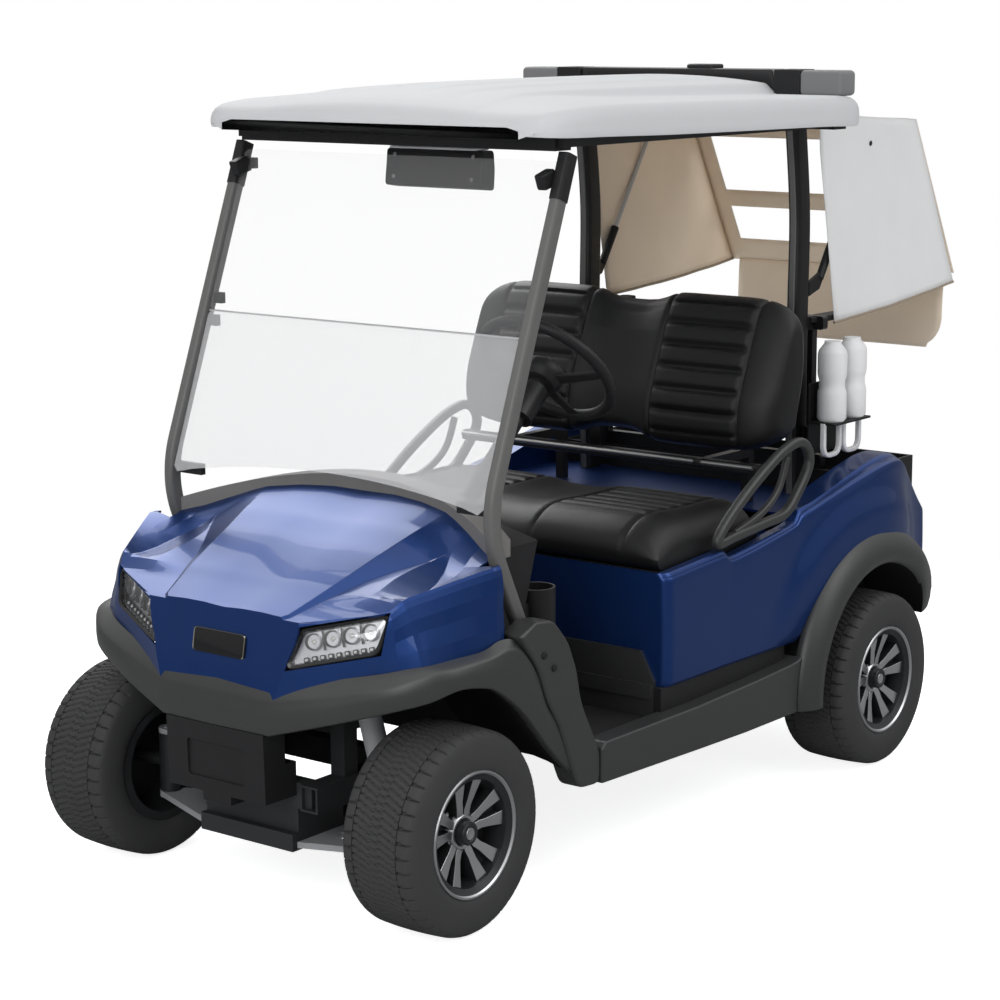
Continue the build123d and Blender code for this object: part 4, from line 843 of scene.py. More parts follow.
# ---------------------------------------------------------------- foot covers, sills, bumper, brow
FOOT_SIDE = [
    (AF - 150, 636), (AF - 218, 551), (AF - 250, 471), (AF - 294, 404), (AF - 343, 288), (AF - 366, 243),
    (AF - 446, 237), (AF - 446, 312), (AF - 374, 445), (AF - 357, 522), (AF - 326, 592), (AF - 270, 653),
    (AF - 205, 660),
]
for hand, side in SIDES:
    shape = [(p.x, p.y) for p in fillet_line([(a, b, 0) for a, b in FOOT_SIDE], 22, 4)]
    cover = prism(f"foot_cover_{side}", shape, at_y(hand * 506.8, hand), 60, TRIM, edge=9, segs=4,
                  slot="trim_grey")
    bolts = [prism("bolt", ring_points(9, 6, bx, bz), at_y(hand * 565, hand), 6, BLACK, edge=1.5)
             for bx, bz in ((AF - 232, 580), (AF - 268, 545))]
    bolts = join(f"foot_cover_bolts_{side}", bolts)
    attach(bolts, "chassis")
    if hand > 0:
        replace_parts(cover, "foot_covers")

SILL_SIDE = [
    (AF - 446.3, 236), (AF - 446.3, 318), (AF - 462, 332), (AR + 818, 331), (AR + 549, 338), (AR + 400, 345),
    (AR + 360, 350), (AR + 335, 362), (AR + 318, 380), (AR + 300, 380), (AR + 300, 214), (AR + 603, 216),
    (AR + 811, 222),
]
ARCH = (AR - 10, 235)
ARCH_CUT = 378                            # radius of the wheel arch in the body
for hand, side in SIDES:
    sill = prism(f"sill_{side}", SILL_SIDE, at_y(hand * 515, hand), 57, TRIM, slot="trim_grey")
    cutter = prism("cutter", ring_points(ARCH_CUT, 96, *ARCH), at_y(-700), 1400, TRIM)
    cut_away(sill, cutter)
    bevel(sill, 11, 4, 40)
    # a strip in the recess between the body's lower edge and the sill: the part itself is trim grey, and its
    # black colour is painted shade
    prism(f"sill_shade_strip_{side}", [(AR + 366, 318), (SF + 9, 318), (SF + 9, 389), (AR + 366, 389)],
          at_y(hand * 506, hand), 24, BLACK, edge=2, slot="black_plastic")
    if hand > 0:
        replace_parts(sill, "sills")

for mat, edge, names in (
    (BLACK, 4, "bumper_box"), (BROW, 5, "cowl_brow"), (TRIM, 5, "kick_panel"), (MAT, 2, "floor_pan"),
    (BLACK, 3, "dashboard battery_pack seat_base"), (BLACK, 2, "bag_well rear_bumper windshield_clips"),
    (CHASSIS_PAINT, 1.5, "frame"), (SUSPENSION_GREY, 1.5, "front_suspension"), (RED, 2, "tail_lamps"),
    (STEEL, 0.6, "tie_rod seat_hinges"), (DARK_ALLOY, 1.5, "knuckle_left knuckle_right"),
    (BLACK_METAL, 1.5, "rear_axle rear_springs"), (BLACK_METAL, 1, "steering_column pedals"),
    (BLACK_METAL, 2, "roof_frame seat_back_frame bag_frame"),
):
    repaint(mat, edge, names.split())

# ---------------------------------------------------------------- rear body and flares
BODY = [  # x from the rear axle, lower half width, belt z, upper half width, top z
    (912, 540, 640, 528, 663), (800, 541, 648, 529, 670), (690, 541, 655, 529, 677),
    (655, 541, 654, 529, 676), (636, 541, 642, 529, 660), (560, 543, 648, 529, 666),
    (440, 545, 666, 530, 682), (336, 547, 688, 532, 699), (322, 547, 696, 532, 722),
    (250, 550, 720, 534, 736), (132, 555, 748, 536, 764), (30, 560, 768, 535, 788),
    (-77, 563, 784, 532, 806), (-150, 558, 783, 526, 805), (-200, 548, 764, 516, 788),
    (-250, 532, 732, 502, 758), (-310, 514, 686, 491, 714), (-360, 505, 638, 484, 670),
    (-398, 501, 602, 484, 634),
]
BODY_FRONT, BODY_TAIL = BODY[0][0], BODY[-1][0]
BODY_CORNER = 25                          # radius of the seat box's front corners
BODY_FOOT = 388                           # z of the body's lower edge
SWELL, SWELL_OUTER, SWELL_RUN = 16, 520, 85             # height, outer radius and width of its slope


def arch_swell(dx, z):
    """How far the side swells out round the rear wheel arch."""
    near = ease((SWELL_OUTER - hypot(dx, z - ARCH[1])) / SWELL_RUN)
    above = ease((atan2(z - ARCH[1], dx) - 0.2) / 0.7)
    ahead = min(1, max(0, (dx + 340) / 150))
    return SWELL * near * above * ahead


rows = []
corner_dx = [BODY_FRONT - BODY_CORNER * (1 - cos(pi * k / 12)) for k in range(6)]
side_run = BODY_FRONT - BODY_CORNER - BODY_TAIL
for dx in corner_dx + [BODY_FRONT - BODY_CORNER - side_run * k / 129 for k in range(130)]:
    low, belt, up, top = smooth(BODY, dx)
    past = max(0, dx - BODY_FRONT + BODY_CORNER)
    inset = BODY_CORNER - sqrt(BODY_CORNER ** 2 - past ** 2)
    half = [(low - 6, BODY_FOOT), (low, BODY_FOOT + 8)]
    haunch = exp(-((dx - 60) / 210) ** 4)
    for k in range(1, 20):
        t = k / 20
        z = BODY_FOOT + 8 + (belt - BODY_FOOT - 8) * t
        half.append((low + haunch * 5 * sin(pi * t / 2) + 2 * sin(pi * t) + arch_swell(dx, z), z))
    crest = low + haunch * 5
    # a soft roll at the belt, then the narrower upper side up to the rim
    roll_y, roll_z = 10 * haunch + (crest - up) * 0.45, (top - belt) * 0.55
    for k in range(5):
        a = k * pi / 8
        half.append((crest - roll_y * (1 - cos(a)), belt + roll_z * sin(a)))
    for t in (0.4, 0.8, 1.0):
        y0, z0 = crest - roll_y, belt + roll_z
        half.append((y0 + (up - y0) * t ** 1.6, z0 + (top - z0) * t))
    half = [(y - inset, z) for y, z in half]
    row = [(AR + dx, -y, z) for y, z in half] + [(AR + dx, y, z) for y, z in half[::-1]]
    rows.append(row)
body = grid("body_shell", rows, BLUE, wrap_cols=True, cap=True, slot="body_blue", sharp=30)
# foot room under the seat, then the wells behind it: x from and to, half width, z from and to
for x0, x1, half, z0, z1 in (
    (AR + 272, SF - 6, 505, 378, 644), (AR + 271, SF - 6, 508, 650, 900), (AR - 41, AR + 272, 470, 378, 694),
    (AR - 40, AR + 272, 470, 700, 900), (AR - 390, AR - 40, 470, 378, 900),
):
    well = [(x0, -half), (x1, -half), (x1, half), (x0, half)]
    cut_away(body, prism("cutter", well, at_z(z0), z1 - z0, BLUE))
cut_away(body, prism("cutter", ring_points(ARCH_CUT, 128, *ARCH), at_y(-700), 1400, BLUE))
bevel(body, 3, 2, 32)
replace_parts(body, "rear_body")

FLARE = [  # half width and radius round the arch: a soft rounded lip, then back under the body
    (400, 303), (560, 301), (592, 300), (600, 302), (606, 308), (608, 318), (607, 332), (603, 348),
    (597, 361), (590, 372), (582, 382), (573, 389), (562, 392), (552, 389), (552, 340), (552, 309),
    (400, 309),
]
FLARE_FROM, FLARE_TO = -3, 158
FLARE_TAIL = -312                         # the lip turns down straight behind this
for hand, side in SIDES:
    rows = []
    for k in range(81):
        t = k / 80
        a = radians(FLARE_FROM + (FLARE_TO - FLARE_FROM) * t)
        tail = max(0, (t - 0.8) / 0.2) ** 1.5
        band = 0.83 + 0.17 * ease((a - 0.5) / 1.1)
        row = []
        for w, r in FLARE:
            y = w - (w - 552) * 0.75 * tail if w > 552 else w
            reach = 303 + (r - 303) * band if r > 309 else r
            along = reach * cos(a)
            if along < FLARE_TAIL:
                along = FLARE_TAIL + 0.2 * (along - FLARE_TAIL)
            row.append((ARCH[0] + along, hand * y, ARCH[1] + reach * sin(a)))
        rows.append(row)
    flare = grid(f"flare_{side}", rows, TRIM, wrap_cols=True, cap=True, slot="trim_grey", sharp=35,
                 mats=[TRIM, LINER])
    for p in flare.data.polygons:
        c = p.center / MM
        if hypot(c.x - ARCH[0], c.z - ARCH[1]) < 304 and abs(c.y) < 590:
            p.material_index = 1
    turns = [radians(10 + 142 * k / 56) for k in range(57)]
    wall = [(ARCH[0] + 306 * cos(a), ARCH[1] + 306 * sin(a)) for a in turns]
    prism(f"wheel_house_{side}", wall, at_y(hand * 399, hand), 6, LINER, slot="black_plastic")
    if hand > 0:
        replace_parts(flare, "rear_flares")

# ---------------------------------------------------------------- seat
def closed_section(points, n):
    """n evenly spaced points on a smooth closed line."""
    pts = curve([(a, b, 0) for a, b in points], 400, closed=True)
    lengths = [0]
    for a, b in zip(pts, pts[1:] + pts[:1]):
        lengths.append(lengths[-1] + (b - a).length)
    total = lengths[-1]
    out, i = [], 0
    for k in range(n):
        want = total * k / n
        while lengths[i + 1] < want:
            i += 1
        f = (want - lengths[i]) / (lengths[i + 1] - lengths[i])
        q = pts[i].lerp(pts[(i + 1) % len(pts)], f)
        out.append((q.x, q.y))
    return out


def groove(d, width):
    return exp(-(d / width) ** 2)


SEAM_IN, SEAM_OUT = 128, 398
# columns across one half of the bench, closer at the seams and ends
COLUMNS = [0, 30, 60, 90, 108, 118, 124, 128, 132, 138, 148, 165, 190, 220, 250, 280, 310, 340, 362, 378, 388,
           394, 398, 402, 408, 418, 432, 448, 462, 474, 484, 491, 496]


def bench(name, section, half, ends, shape, body):
    """A bench-wide cushion: section in side view, shape(x, z, y, nx, nz) gives each point's push."""
    n = 190
    pts = closed_section(section, n)
    cx = sum(p[0] for p in pts) / n
    cz = sum(p[1] for p in pts) / n
    area = sum(pts[i][0] * pts[(i + 1) % n][1] - pts[(i + 1) % n][0] * pts[i][1] for i in range(n))
    flip = 1 if area > 0 else -1
    rows = []
    for y in [-y for y in COLUMNS[:0:-1]] + COLUMNS:
        y = y * half / COLUMNS[-1]
        row = []
        squeeze = ends(abs(y) / half)
        for i, (x, z) in enumerate(pts):
            tx = pts[(i + 1) % n][0] - pts[i - 1][0]
            tz = pts[(i + 1) % n][1] - pts[i - 1][1]
            length = hypot(tx, tz)
            nx, nz = flip * tz / length, -flip * tx / length
            dx, dz = shape(x, z, y, nx, nz)
            row.append((cx + (x + dx - cx) * squeeze[0], y, cz + (z + dz - cz) * squeeze[1]))
        rows.append(row)
    return grid(name, rows, VINYL, wrap_cols=True, cap=True, body=body, sharp=50, slot="seat_vinyl")


BACK_SIDE = [
    (SF - 540, 872), (SF - 516, 900), (SF - 520, 980), (SF - 548, 1060), (SF - 585, 1150), (SF - 615, 1215),
    (SF - 640, 1240), (SF - 672, 1240), (SF - 700, 1195), (SF - 697, 1060), (SF - 664, 930), (SF - 645, 880),
    (SF - 590, 866),
]


def rounding(t, start, power):
    """1 up to start, then a rounded fall to 0 at t = 1."""
    return sqrt(max(0, 1 - max(0, (t - start) / (1 - start)) ** power))


def back_ends(t):
    """How deep and how tall the seat back still is at t, from 0 in the middle to 1 at the end."""
    return 0.55 + 0.45 * rounding(t, 0.80, 2.6), 0.62 + 0.38 * rounding(t, 0.62, 3.0)


def back_shape(x, z, y, nx, nz):
    """Two lobes in front, a sunk middle with sunk ends, and channels between the seams."""
    a = abs(y)
    front = max(0, nx)
    lobe = exp(-((a - 265) / 190) ** 4)
    push = front * 10 * lobe
    middle = exp(-(a / 105) ** 4)
    push -= front * 14 * middle
    dz = 0
    if z > 1150:
        dz -= 26 * middle * min(1, (z - 1150) / 70)
    if z < 930:
        dz += 22 * middle * min(1, (930 - z) / 50)
    if SEAM_IN < a < SEAM_OUT and front > 0.25:
        fade = min(1, (a - SEAM_IN) / 16, (SEAM_OUT - a) / 16)
        part = (z - 905) / 54
        if 0 < part < 6:
            push -= fade * (10 * abs(cos(pi * part)) ** 8 - 2)
    seam = groove(a - SEAM_IN, 5) + groove(a - SEAM_OUT, 5)
    push -= 7 * seam * (1 if front > 0.15 or z > 1180 else 0)
    return push * nx, push * nz + dz


back = bench("seat_back_pad", BACK_SIDE, 497, back_ends, back_shape, "chassis")
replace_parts(back, "seat_back")

LOW = 662.6
CUSHION_SIDE = [
    (SF - 454, LOW), (SF - 300, LOW), (SF - 150, LOW), (SF - 40, LOW), (SF - 16, LOW + 8), (SF - 10, 700),
    (SF - 30, 738), (SF - 78, 766), (SF - 140, 774), (SF - 220, 770), (SF - 300, 768), (SF - 390, 768),
    (SF - 438, 760), (SF - 455, 730), (SF - 458, 690),
]


def cushion_ends(t):
    return 0.965 + 0.035 * rounding(t, 0.86, 2.4), 1


def cushion_shape(x, z, y, nx, nz):
    """Two lobes, a sunk middle, ends rounded down, and channels between the seams behind the front."""
    a = abs(y)
    up = max(0, nz)
    rise = min(1, max(0, (z - 690) / 60))
    drop = -rise * 62 * (1 - rounding(a / 496, 0.80, 2.2))
    front = max(0, nx)
    lobe = exp(-((a - 265) / 160) ** 4)
    middle = exp(-(a / 95) ** 4)
    push = (up + 0.6 * front) * 4 * lobe - up * 9 * middle - front * 6 * middle
    if SEAM_IN < a < SEAM_OUT and up > 0.5 and x < SF - 110:
        fade = min(1, (a - SEAM_IN) / 14, (SEAM_OUT - a) / 14, (SF - 110 - x) / 12)
        part = (SF - 122 - x) / 52
        if part > -0.2:
            push -= fade * 8 * abs(cos(pi * part)) ** 8
    seam = groove(a - SEAM_IN, 4.5) + groove(a - SEAM_OUT, 4.5)
    push -= 6 * seam * rise
    if z < LOW + 4:
        return 0, 0
    return push * nx, push * nz + drop


cushion = bench("seat_pad", CUSHION_SIDE, 499, cushion_ends, cushion_shape, "seat")
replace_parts(cushion, "seat_cushion")

TUBE_X, TUBE_Z = SF - 489, 838
tube("seat_back_tube", [(TUBE_X, y, TUBE_Z) for y in (-462, 0, 462)], 6, STEEL, n=16, slot="steel")
for y in (-300, 300):
    prism("tube_clip", round_rect(30, 16, 4, TUBE_X - 3, TUBE_Z), at_y(y - 9), 18, BLACK_METAL, edge=2,
          slot="black_metal")

# ---------------------------------------------------------------- hip restraints
LOOP = [(-222, 690), (-250, 728), (-340, 788), (-440, 842), (-520, 876), (-590, 888), (-632, 866),
        (-640, 822), (-590, 762), (-528, 716), (-430, 706), (-300, 696)]
LOOP_BRACE = [(-300, 712), (-420, 742), (-500, 790), (-540, 868)]
for hand, side in SIDES:
    ring = curve([(SF + a, hand * 534, b + 10) for a, b in LOOP], 96, closed=True)
    loop = sweep(f"hip_loop_{side}", ring, round_rect(24, 25, 9), TRIM, up=(0, 1, 0), closed=True,
                 slot="trim_grey", sharp=60)
    brace = curve([(SF + a, hand * 531, b) for a, b in LOOP_BRACE], 24)
    sweep(f"hip_brace_{side}", brace, round_rect(16, 18, 6), TRIM, up=(0, 1, 0), slot="trim_grey", sharp=60)
    if hand > 0:
        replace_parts(loop, "hip_restraints")

# ---------------------------------------------------------------- struts
STRUT_PATH = [(AF - 394, 345), (AF - 135, 868), (AF - 434, 1654)]
STRUT_Y, POST_Y = 483, 336
POST_PATH = [(AR + 6, 701), (AR + 10, 950), (AR + 10, 1200), (AR + 8, 1440), (AR + 33, 1661)]
for hand, side in SIDES:
    path = fillet_line([(a, hand * STRUT_Y, b) for a, b in STRUT_PATH], 110, 14)
    strut = sweep(f"front_strut_{side}", path, round_rect(27, 37, 8), STRUT, up=(0, 1, 0), slot="strut_grey",
                  sharp=60)
    if hand > 0:
        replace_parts(strut, "front_struts")
    sleeve = [(AF - 397, hand * STRUT_Y, 1556), (AF - 434, hand * STRUT_Y, 1655)]
    sweep(f"front_strut_sleeve_{side}", sleeve, round_rect(31, 41, 9), BLACK, up=(0, 1, 0),
          slot="black_plastic", sharp=60)
    clip = [(AF - 418, 1590), (AF - 372, 1578), (AF - 358, 1612), (AF - 404, 1626)]
    prism(f"strut_clip_{side}", clip, at_y(hand * 470, -hand), 26, BLACK, edge=5, segs=3,
          slot="black_plastic")
    path = curve([(a, hand * POST_Y, b) for a, b in POST_PATH], 40)
    post = sweep(f"rear_strut_{side}", path, round_rect(38, 60, 12), BLACK_METAL, up=(0, 1, 0),
                 slot="black_metal", sharp=60)
    sweep(f"rear_strut_rib_{side}", [p + Vector((31, 0, 0)) for p in path], round_rect(16, 6, 2),
          STRUT, up=(0, 1, 0), slot="black_metal", sharp=60)
    prism(f"strut_pad_{side}_1150", round_rect(16, 34, 3, AR - 28, 1150), at_y(hand * POST_Y - 14), 28,
          BLACK_METAL, slot="black_metal")
    if hand > 0:
        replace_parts(post, "rear_struts")

# ---------------------------------------------------------------- roof
ROOF = [  # x, half width, lip z, edge z, shelf z, shoulder z of the raised middle, top z
    (AF - 310, 440, 1700, 1718, 1719, 1721, 1726), (AF - 316, 468, 1697, 1730, 1732, 1735, 1742),
    (AF - 335, 500, 1695, 1743, 1746, 1750, 1759), (AF - 400, 522, 1692, 1754, 1762, 1766, 1777),
    (AF - 530, 530, 1690, 1760, 1774, 1782, 1794), (AF - 800, 530, 1684, 1758, 1766, 1784, 1800),
    (AR + 200, 530, 1676, 1751, 1752, 1780, 1800), (AR + 60, 524, 1672, 1748, 1749, 1776, 1792),
    (AR + 5, 505, 1672, 1738, 1739, 1760, 1776), (AR - 14, 484, 1673, 1724, 1726, 1742, 1756),
    (AR - 20, 468, 1675, 1712, 1716, 1728, 1740),
]
SHELF_IN, DOME_HALF = 316, 276
ROOF_FRONT, ROOF_REAR = ROOF[0][0], ROOF[-1][0]
FLUTES, FLUTE_DEEP = (70, 190), 4.5
CEILING = 1712


def roof_row(x):
    half, lip, edge, shelf, shoulder, top = smooth(ROOF, x)
    row = [(x, half - 16, lip + 10), (x, half - 10, lip), (x, half - 3, lip + 1), (x, half, lip + 8)]
    for t in (0.3, 0.6, 0.85):
        row.append((x, half + 0.5, lip + 8 + (edge - 30 - lip - 8) * t))
    for a in (10, 30, 50, 70, 88):
        w = radians(a)
        row.append((x, half - 34 + 34 * cos(w), edge - 30 + 30 * sin(w)))
    for t in (0.3, 0.6, 0.9):
        y = (half - 34) + (SHELF_IN + 8 - half + 34) * t
        row.append((x, y, edge + (shelf - edge) * t))
    for t in (0.0, 0.2, 0.4, 0.6, 0.8, 1.0):
        row.append((x, SHELF_IN + (DOME_HALF - SHELF_IN) * t, shelf + (shoulder - shelf) * ease(t)))
    fade = max(0, min(1, (AF - 380 - x) / 160)) * max(0, min(1, (x - AR - 110) / 90))
    for k in range(1, 29):
        y = DOME_HALF * (1 - k / 28)
        z = shoulder + (top - shoulder) * (1 - (y / DOME_HALF) ** 2)
        row.append((x, y, z - FLUTE_DEEP * sum(groove(y - c, 16) for c in FLUTES) * fade))
    return row


rows = []
for k in range(61):
    t = k / 60
    x = ROOF_FRONT + (ROOF_REAR - ROOF_FRONT) * (0.5 - 0.5 * cos(pi * t))
    half = roof_row(x)
    wide, deep = 470, min(CEILING, smooth(ROOF, x)[2] - 8)
    if not 4 < k < 56:
        wide, deep = half[0][1] - 14, half[0][2] + 6
    ring = [(x, y, deep) for y in (0, 200, wide)] + half
    rows.append(ring + [(a, -b, c) for a, b, c in ring[-2:0:-1]])
roof = grid("roof_shell", rows, ROOF_WHITE, wrap_cols=True, cap=True, slot="roof_white", sharp=50)
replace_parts(roof, "roof_canopy")

# the straight bar across the roof: grey blocks on the shelves, a black sleeve, a beam with a black face
BAR_X, BAR_DEEP, BAR_TOP, BAR_LOW = AR + 20, 80, 1813, 1746
beam = [(-312, BAR_LOW + 8), (-300, BAR_TOP), (300, BAR_TOP), (312, BAR_LOW + 8)]
beam += [(DOME_HALF * (1 - k / 8), 1772 + 14 * (1 - (1 - k / 8) ** 2)) for k in range(17)]
bar = prism("roof_bar_beam", beam, at_x(BAR_X + 4), BAR_DEEP - 8, BAR_GREY, edge=5, segs=3,
            slot="black_plastic", mats=[BAR_GREY, BLACK])
bar = bake(bar, 40)
for p in bar.data.polygons:
    if p.normal.x > 0.6 or p.normal.z < -0.3:
        p.material_index = 1
parts = [bar]
for hand in (1, -1):
    # y from and to, then how much deeper and lower than the beam, corner radius and edge
    for y0, y1, grow, lower, corner, edge, mat in (
        (306, 384, 1, 0, 5, 3, BLACK), (382, 504, 0, 3, 12, 9, BAR_GREY),
    ):
        end = round_rect(y1 - y0, BAR_TOP - BAR_LOW - lower, corner, hand * (y0 + y1) / 2,
                         (BAR_TOP + BAR_LOW) / 2)
        parts.append(prism("bar_end", end, at_x(BAR_X + 2 - grow), BAR_DEEP - 4 + 2 * grow, mat, edge=edge,
                           segs=3))
bump = round_rect(56, 96, 20, BAR_X + 45, 75)
parts.append(prism("bar_bump", bump, at_z(BAR_TOP - 2), 13, BLACK, edge=5, segs=3))
bar = join("roof_bar_dressed", parts)
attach(bar, "chassis")
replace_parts(bar, "roof_bar")

# ---------------------------------------------------------------- windshield
GLASS_LOW, GLASS_TOP, GLASS_HALF = (AF - 142, 893), (AF - 417, 1640), 467.5
LEAN = (GLASS_TOP[0] - GLASS_LOW[0]) / (GLASS_TOP[1] - GLASS_LOW[1])


def glass_place(z0):
    k = hypot(1, LEAN)
    return lambda a, b, c: (GLASS_LOW[0] + (z0 + b / k - GLASS_LOW[1]) * LEAN - c, a, z0 + b / k)


PANE_CORNER, BROW_RISE = 14, 46           # corner radius, and how far the lower pane arches over the brow
for name, z0, z1, mat in (
    ("windshield_lower", GLASS_LOW[1], 1264, PANE_LOW), ("windshield_upper", 1266, GLASS_TOP[1], PANE),
):
    tall = (z1 - z0) * hypot(1, LEAN)
    shape = round_rect(2 * GLASS_HALF, tall, PANE_CORNER, 0, tall / 2)
    if mat is PANE_LOW:
        flat = GLASS_HALF - PANE_CORNER
        shape = [q for q in shape if q[1] > tall / 2] + [(-GLASS_HALF, PANE_CORNER), (-flat, 0)]
        for k in range(1, 20):
            a = -flat + 2 * flat * k / 20
            shape.append((a, BROW_RISE * (1 - (a / GLASS_HALF) ** 2)))
        shape += [(flat, 0), (GLASS_HALF, PANE_CORNER)]
    pane = prism(f"{name}_sheet", shape, glass_place(z0), 5, mat, edge=1, slot="clear_plastic")
    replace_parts(pane, name)
prism("windshield_seam", [(-467, -1.5), (467, -1.5), (467, 2), (-467, 2)], glass_place(1264), 7, ROD_GREY,
      edge=0.5, slot="clear_plastic")

# ---------------------------------------------------------------- steering wheel
HUB = Vector((AF - 652, 262, 1140))
COL = Vector((cos(radians(42)), 0, -sin(radians(42))))
SIDE = Vector((0, 1, 0))
UPW = COL.cross(SIDE)


def wheel_at(a, b, c):
    """a to the left, b up the wheel's face, c down the column."""
    return tuple(HUB + SIDE * a + UPW * b + COL * c)


def grip_ring(w):
    """The rim's section, with fine ribs at both hands."""
    return ring_points(13.5 + 0.7 * (cos(w * 40) if abs(sin(w)) < 0.8 else 0), 16, 165)


SPOKE = ((30, 26), (70, 22), (115, 12), (158, 2))       # distance from the hub, depth down the column
parts = [grid("ring", spin(96, grip_ring, wheel_at), BLACK, wrap_rows=True, wrap_cols=True,
              body="steering_wheel", sharp=60)]
for angle in (0, 180, 270):
    w0 = radians(angle)
    path = [Vector(wheel_at(r * cos(w0), r * sin(w0), c)) for r, c in SPOKE]
    across = COL.cross(path[-1] - path[0])
    parts.append(sweep("spoke", curve(path, 16), round_rect(34, 13, 6), BLACK, up=across,
                       body="steering_wheel", scale=lambda t: 1 - 0.35 * t, sharp=60))
pad = [(0.1, -6), (30, -5), (46, 0), (52, 10), (50, 30), (40, 44), (22, 46), (22, 61), (0.1, 61)]
parts.append(grid("boss", spin(48, lambda w: pad, wheel_at), BLACK, wrap_rows=True, body="steering_wheel",
                  sharp=45))
wheel = join("steering_wheel_rim", parts)
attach(wheel, "steering_wheel")
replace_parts(wheel, "steering_wheel")

# ---------------------------------------------------------------- display under the roof
DISPLAY_SIDE = [(-610, 1600), (-606, 1552), (-552, 1560), (-560, 1620), (-562, 1646), (-606, 1646),
                (-610, 1600)]
shape = [(p.x, p.y) for p in fillet_line([(AF + a, b, 0) for a, b in DISPLAY_SIDE], 10, 4)]
unit = prism("display_body", shape, at_y(-145), 290, BLACK, edge=4, segs=3, slot="black_plastic")
feet = [prism("foot", round_rect(30, 40, 4, AF - 584, y), at_z(1640), 71, BLACK, edge=2) for y in (90, -90)]
plate = prism("display_plate", round_rect(56, 262, 8, AF - 580, 0), at_z(1646.5), 5, ROD_GREY, edge=1.5)
screws = []
for y in (-118, 118):
    for z in (1580, 1632):
        front = AF - 552 - (z - 1560) * 0.13
        screws.append(prism("screw", ring_points(5, 12, y, z), at_x(front - 2), 4, STEEL, edge=1))
unit = join("display_body", [unit, plate] + feet + screws)
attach(unit, "chassis")
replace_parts(unit, "dash_display")

# ---------------------------------------------------------------- bag cover
COVER_HALF = 374
ROOF_END, COVER_TOP = (AR - 21, 1698), (AR - 539, 1664)                 # corners of a side, (x, z) each
COVER_TAIL, COVER_LOW = (AR - 782, 1223), (AR - 121, 1171)


def fold(u, v, k):
    """Shallow folds in the cloth: u across, v down, k picks the side."""
    return (3.0 * sin(7 * u + 2.1 * v + k) * sin(pi * min(1, v * 1.2)) + 2.0 * sin(17 * u - 5 * v + 2 * k)
            + 1.2 * sin(31 * u + 9 * v + k)) * 0.8


for hand, side in SIDES:
    rows = []
    for i in range(25):
        u = i / 24
        top = Vector(ROOF_END).lerp(Vector(COVER_TOP), u)
        low = Vector(COVER_LOW).lerp(Vector(COVER_TAIL), u)
        low.y -= 7 * sin(pi * u) + (26 if hand > 0 else 0)      # the left side hangs lower
        row = []
        for j in range(25):
            v = j / 24
            q = top.lerp(low, v)
            hollow = 11 * sin(pi * v) * sin(pi * u)
            y = COVER_HALF - hollow - (3 + fold(u, v, hand)) * min(1, 6 * v, 6 * (1 - u) + 0.3)
            row.append((q.x, hand * max(COVER_HALF - 24, min(COVER_HALF, y)), q.y))
        rows.append(row)
    panel = grid(f"cover_side_{side}", rows, CLOTH, slot="cover_cloth", sharp=80, mats=[CLOTH, BEIGE])
    thicken(panel, 1.6, inner=1)
    hem = [(x, y - hand * 1.5, z) for x, y, z in (row[-1] for row in rows)]
    tube(f"cover_hem_{side}", hem, 4, PIPING, n=8, slot="cover_cloth")

rows = []
for i in range(15):
    t = i / 14
    q = Vector(ROOF_END).lerp(Vector(COVER_TOP), t)
    rows.append([(q.x, COVER_HALF * (1 - 2 * j / 24), q.y + 1 - 7 * sin(pi * t) * sin(pi * j / 24)
                  + 1.2 * sin(9 * t + 5 * j / 24)) for j in range(25)])
top = grid("cover_top", rows, CLOTH, slot="cover_cloth", sharp=80, mats=[CLOTH, BEIGE])
thicken(top, 1.6, inner=1)

WINDOWS, WINDOW_HALF = ((1440, 1600), (1290, 1390)), 320
zs = [COVER_TOP[1], 1640, 1620, 1600, 1570, 1520, 1470, 1440, 1420, 1400, 1390, 1360, 1320, 1290, 1270, 1245,
      COVER_TAIL[1]]
ys = [COVER_HALF, 355, 335, WINDOW_HALF, 270, 210, 140, 70, 0]
ys += [-y for y in ys[-2::-1]]
verts, faces = [], []
for z in zs:
    t = (COVER_TOP[1] - z) / (COVER_TOP[1] - COVER_TAIL[1])
    x = COVER_TOP[0] + (COVER_TAIL[0] - COVER_TOP[0]) * t
    for y in ys:
        belly = 6 * sin(pi * t) * cos(pi * y / (2 * COVER_HALF))
        verts.append((x + belly, y, z))
n = len(ys)
for i in range(len(zs) - 1):
    for j in range(n - 1):
        zc, yc = (zs[i] + zs[i + 1]) / 2, (ys[j] + ys[j + 1]) / 2
        if abs(yc) >= WINDOW_HALF or not any(a < zc < b for a, b in WINDOWS):
            faces.append((i * n + j, i * n + j + 1, (i + 1) * n + j + 1, (i + 1) * n + j))
curtain = make("cover_back", verts, faces, CLOTH, slot="cover_cloth", sharp=80, mats=[CLOTH, BEIGE])
thicken(curtain, 1.6, inner=1)

FLAP_HALF, FLAP_LOW, FLAP_ROUND = 345, 1004, 90         # the flap's top edge is at z 1226
rows = []
for i in range(19):
    t = i / 18
    z = 1226 - (1226 - FLAP_LOW) * t
    over = max(0, FLAP_LOW + FLAP_ROUND - z)
    half = FLAP_HALF - FLAP_ROUND + sqrt(max(FLAP_ROUND ** 2 - over ** 2, 40 ** 2 if t == 1 else 0))
    row = []
    for j in range(33):
        y = half * (1 - 2 * j / 32)
        wave = 5 * sin(pi * t) * cos(6 * j / 32) + 2.5 * sin(9 * j / 32 + 3 * t) * t
        row.append((COVER_TAIL[0] + 3 + 4 * t + wave, y, z))
    rows.append(row)
flap = grid("cover_flap", rows, BEIGE, slot="cover_cloth", sharp=80)
thicken(flap, 1.6)
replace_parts(curtain, "bag_cover")

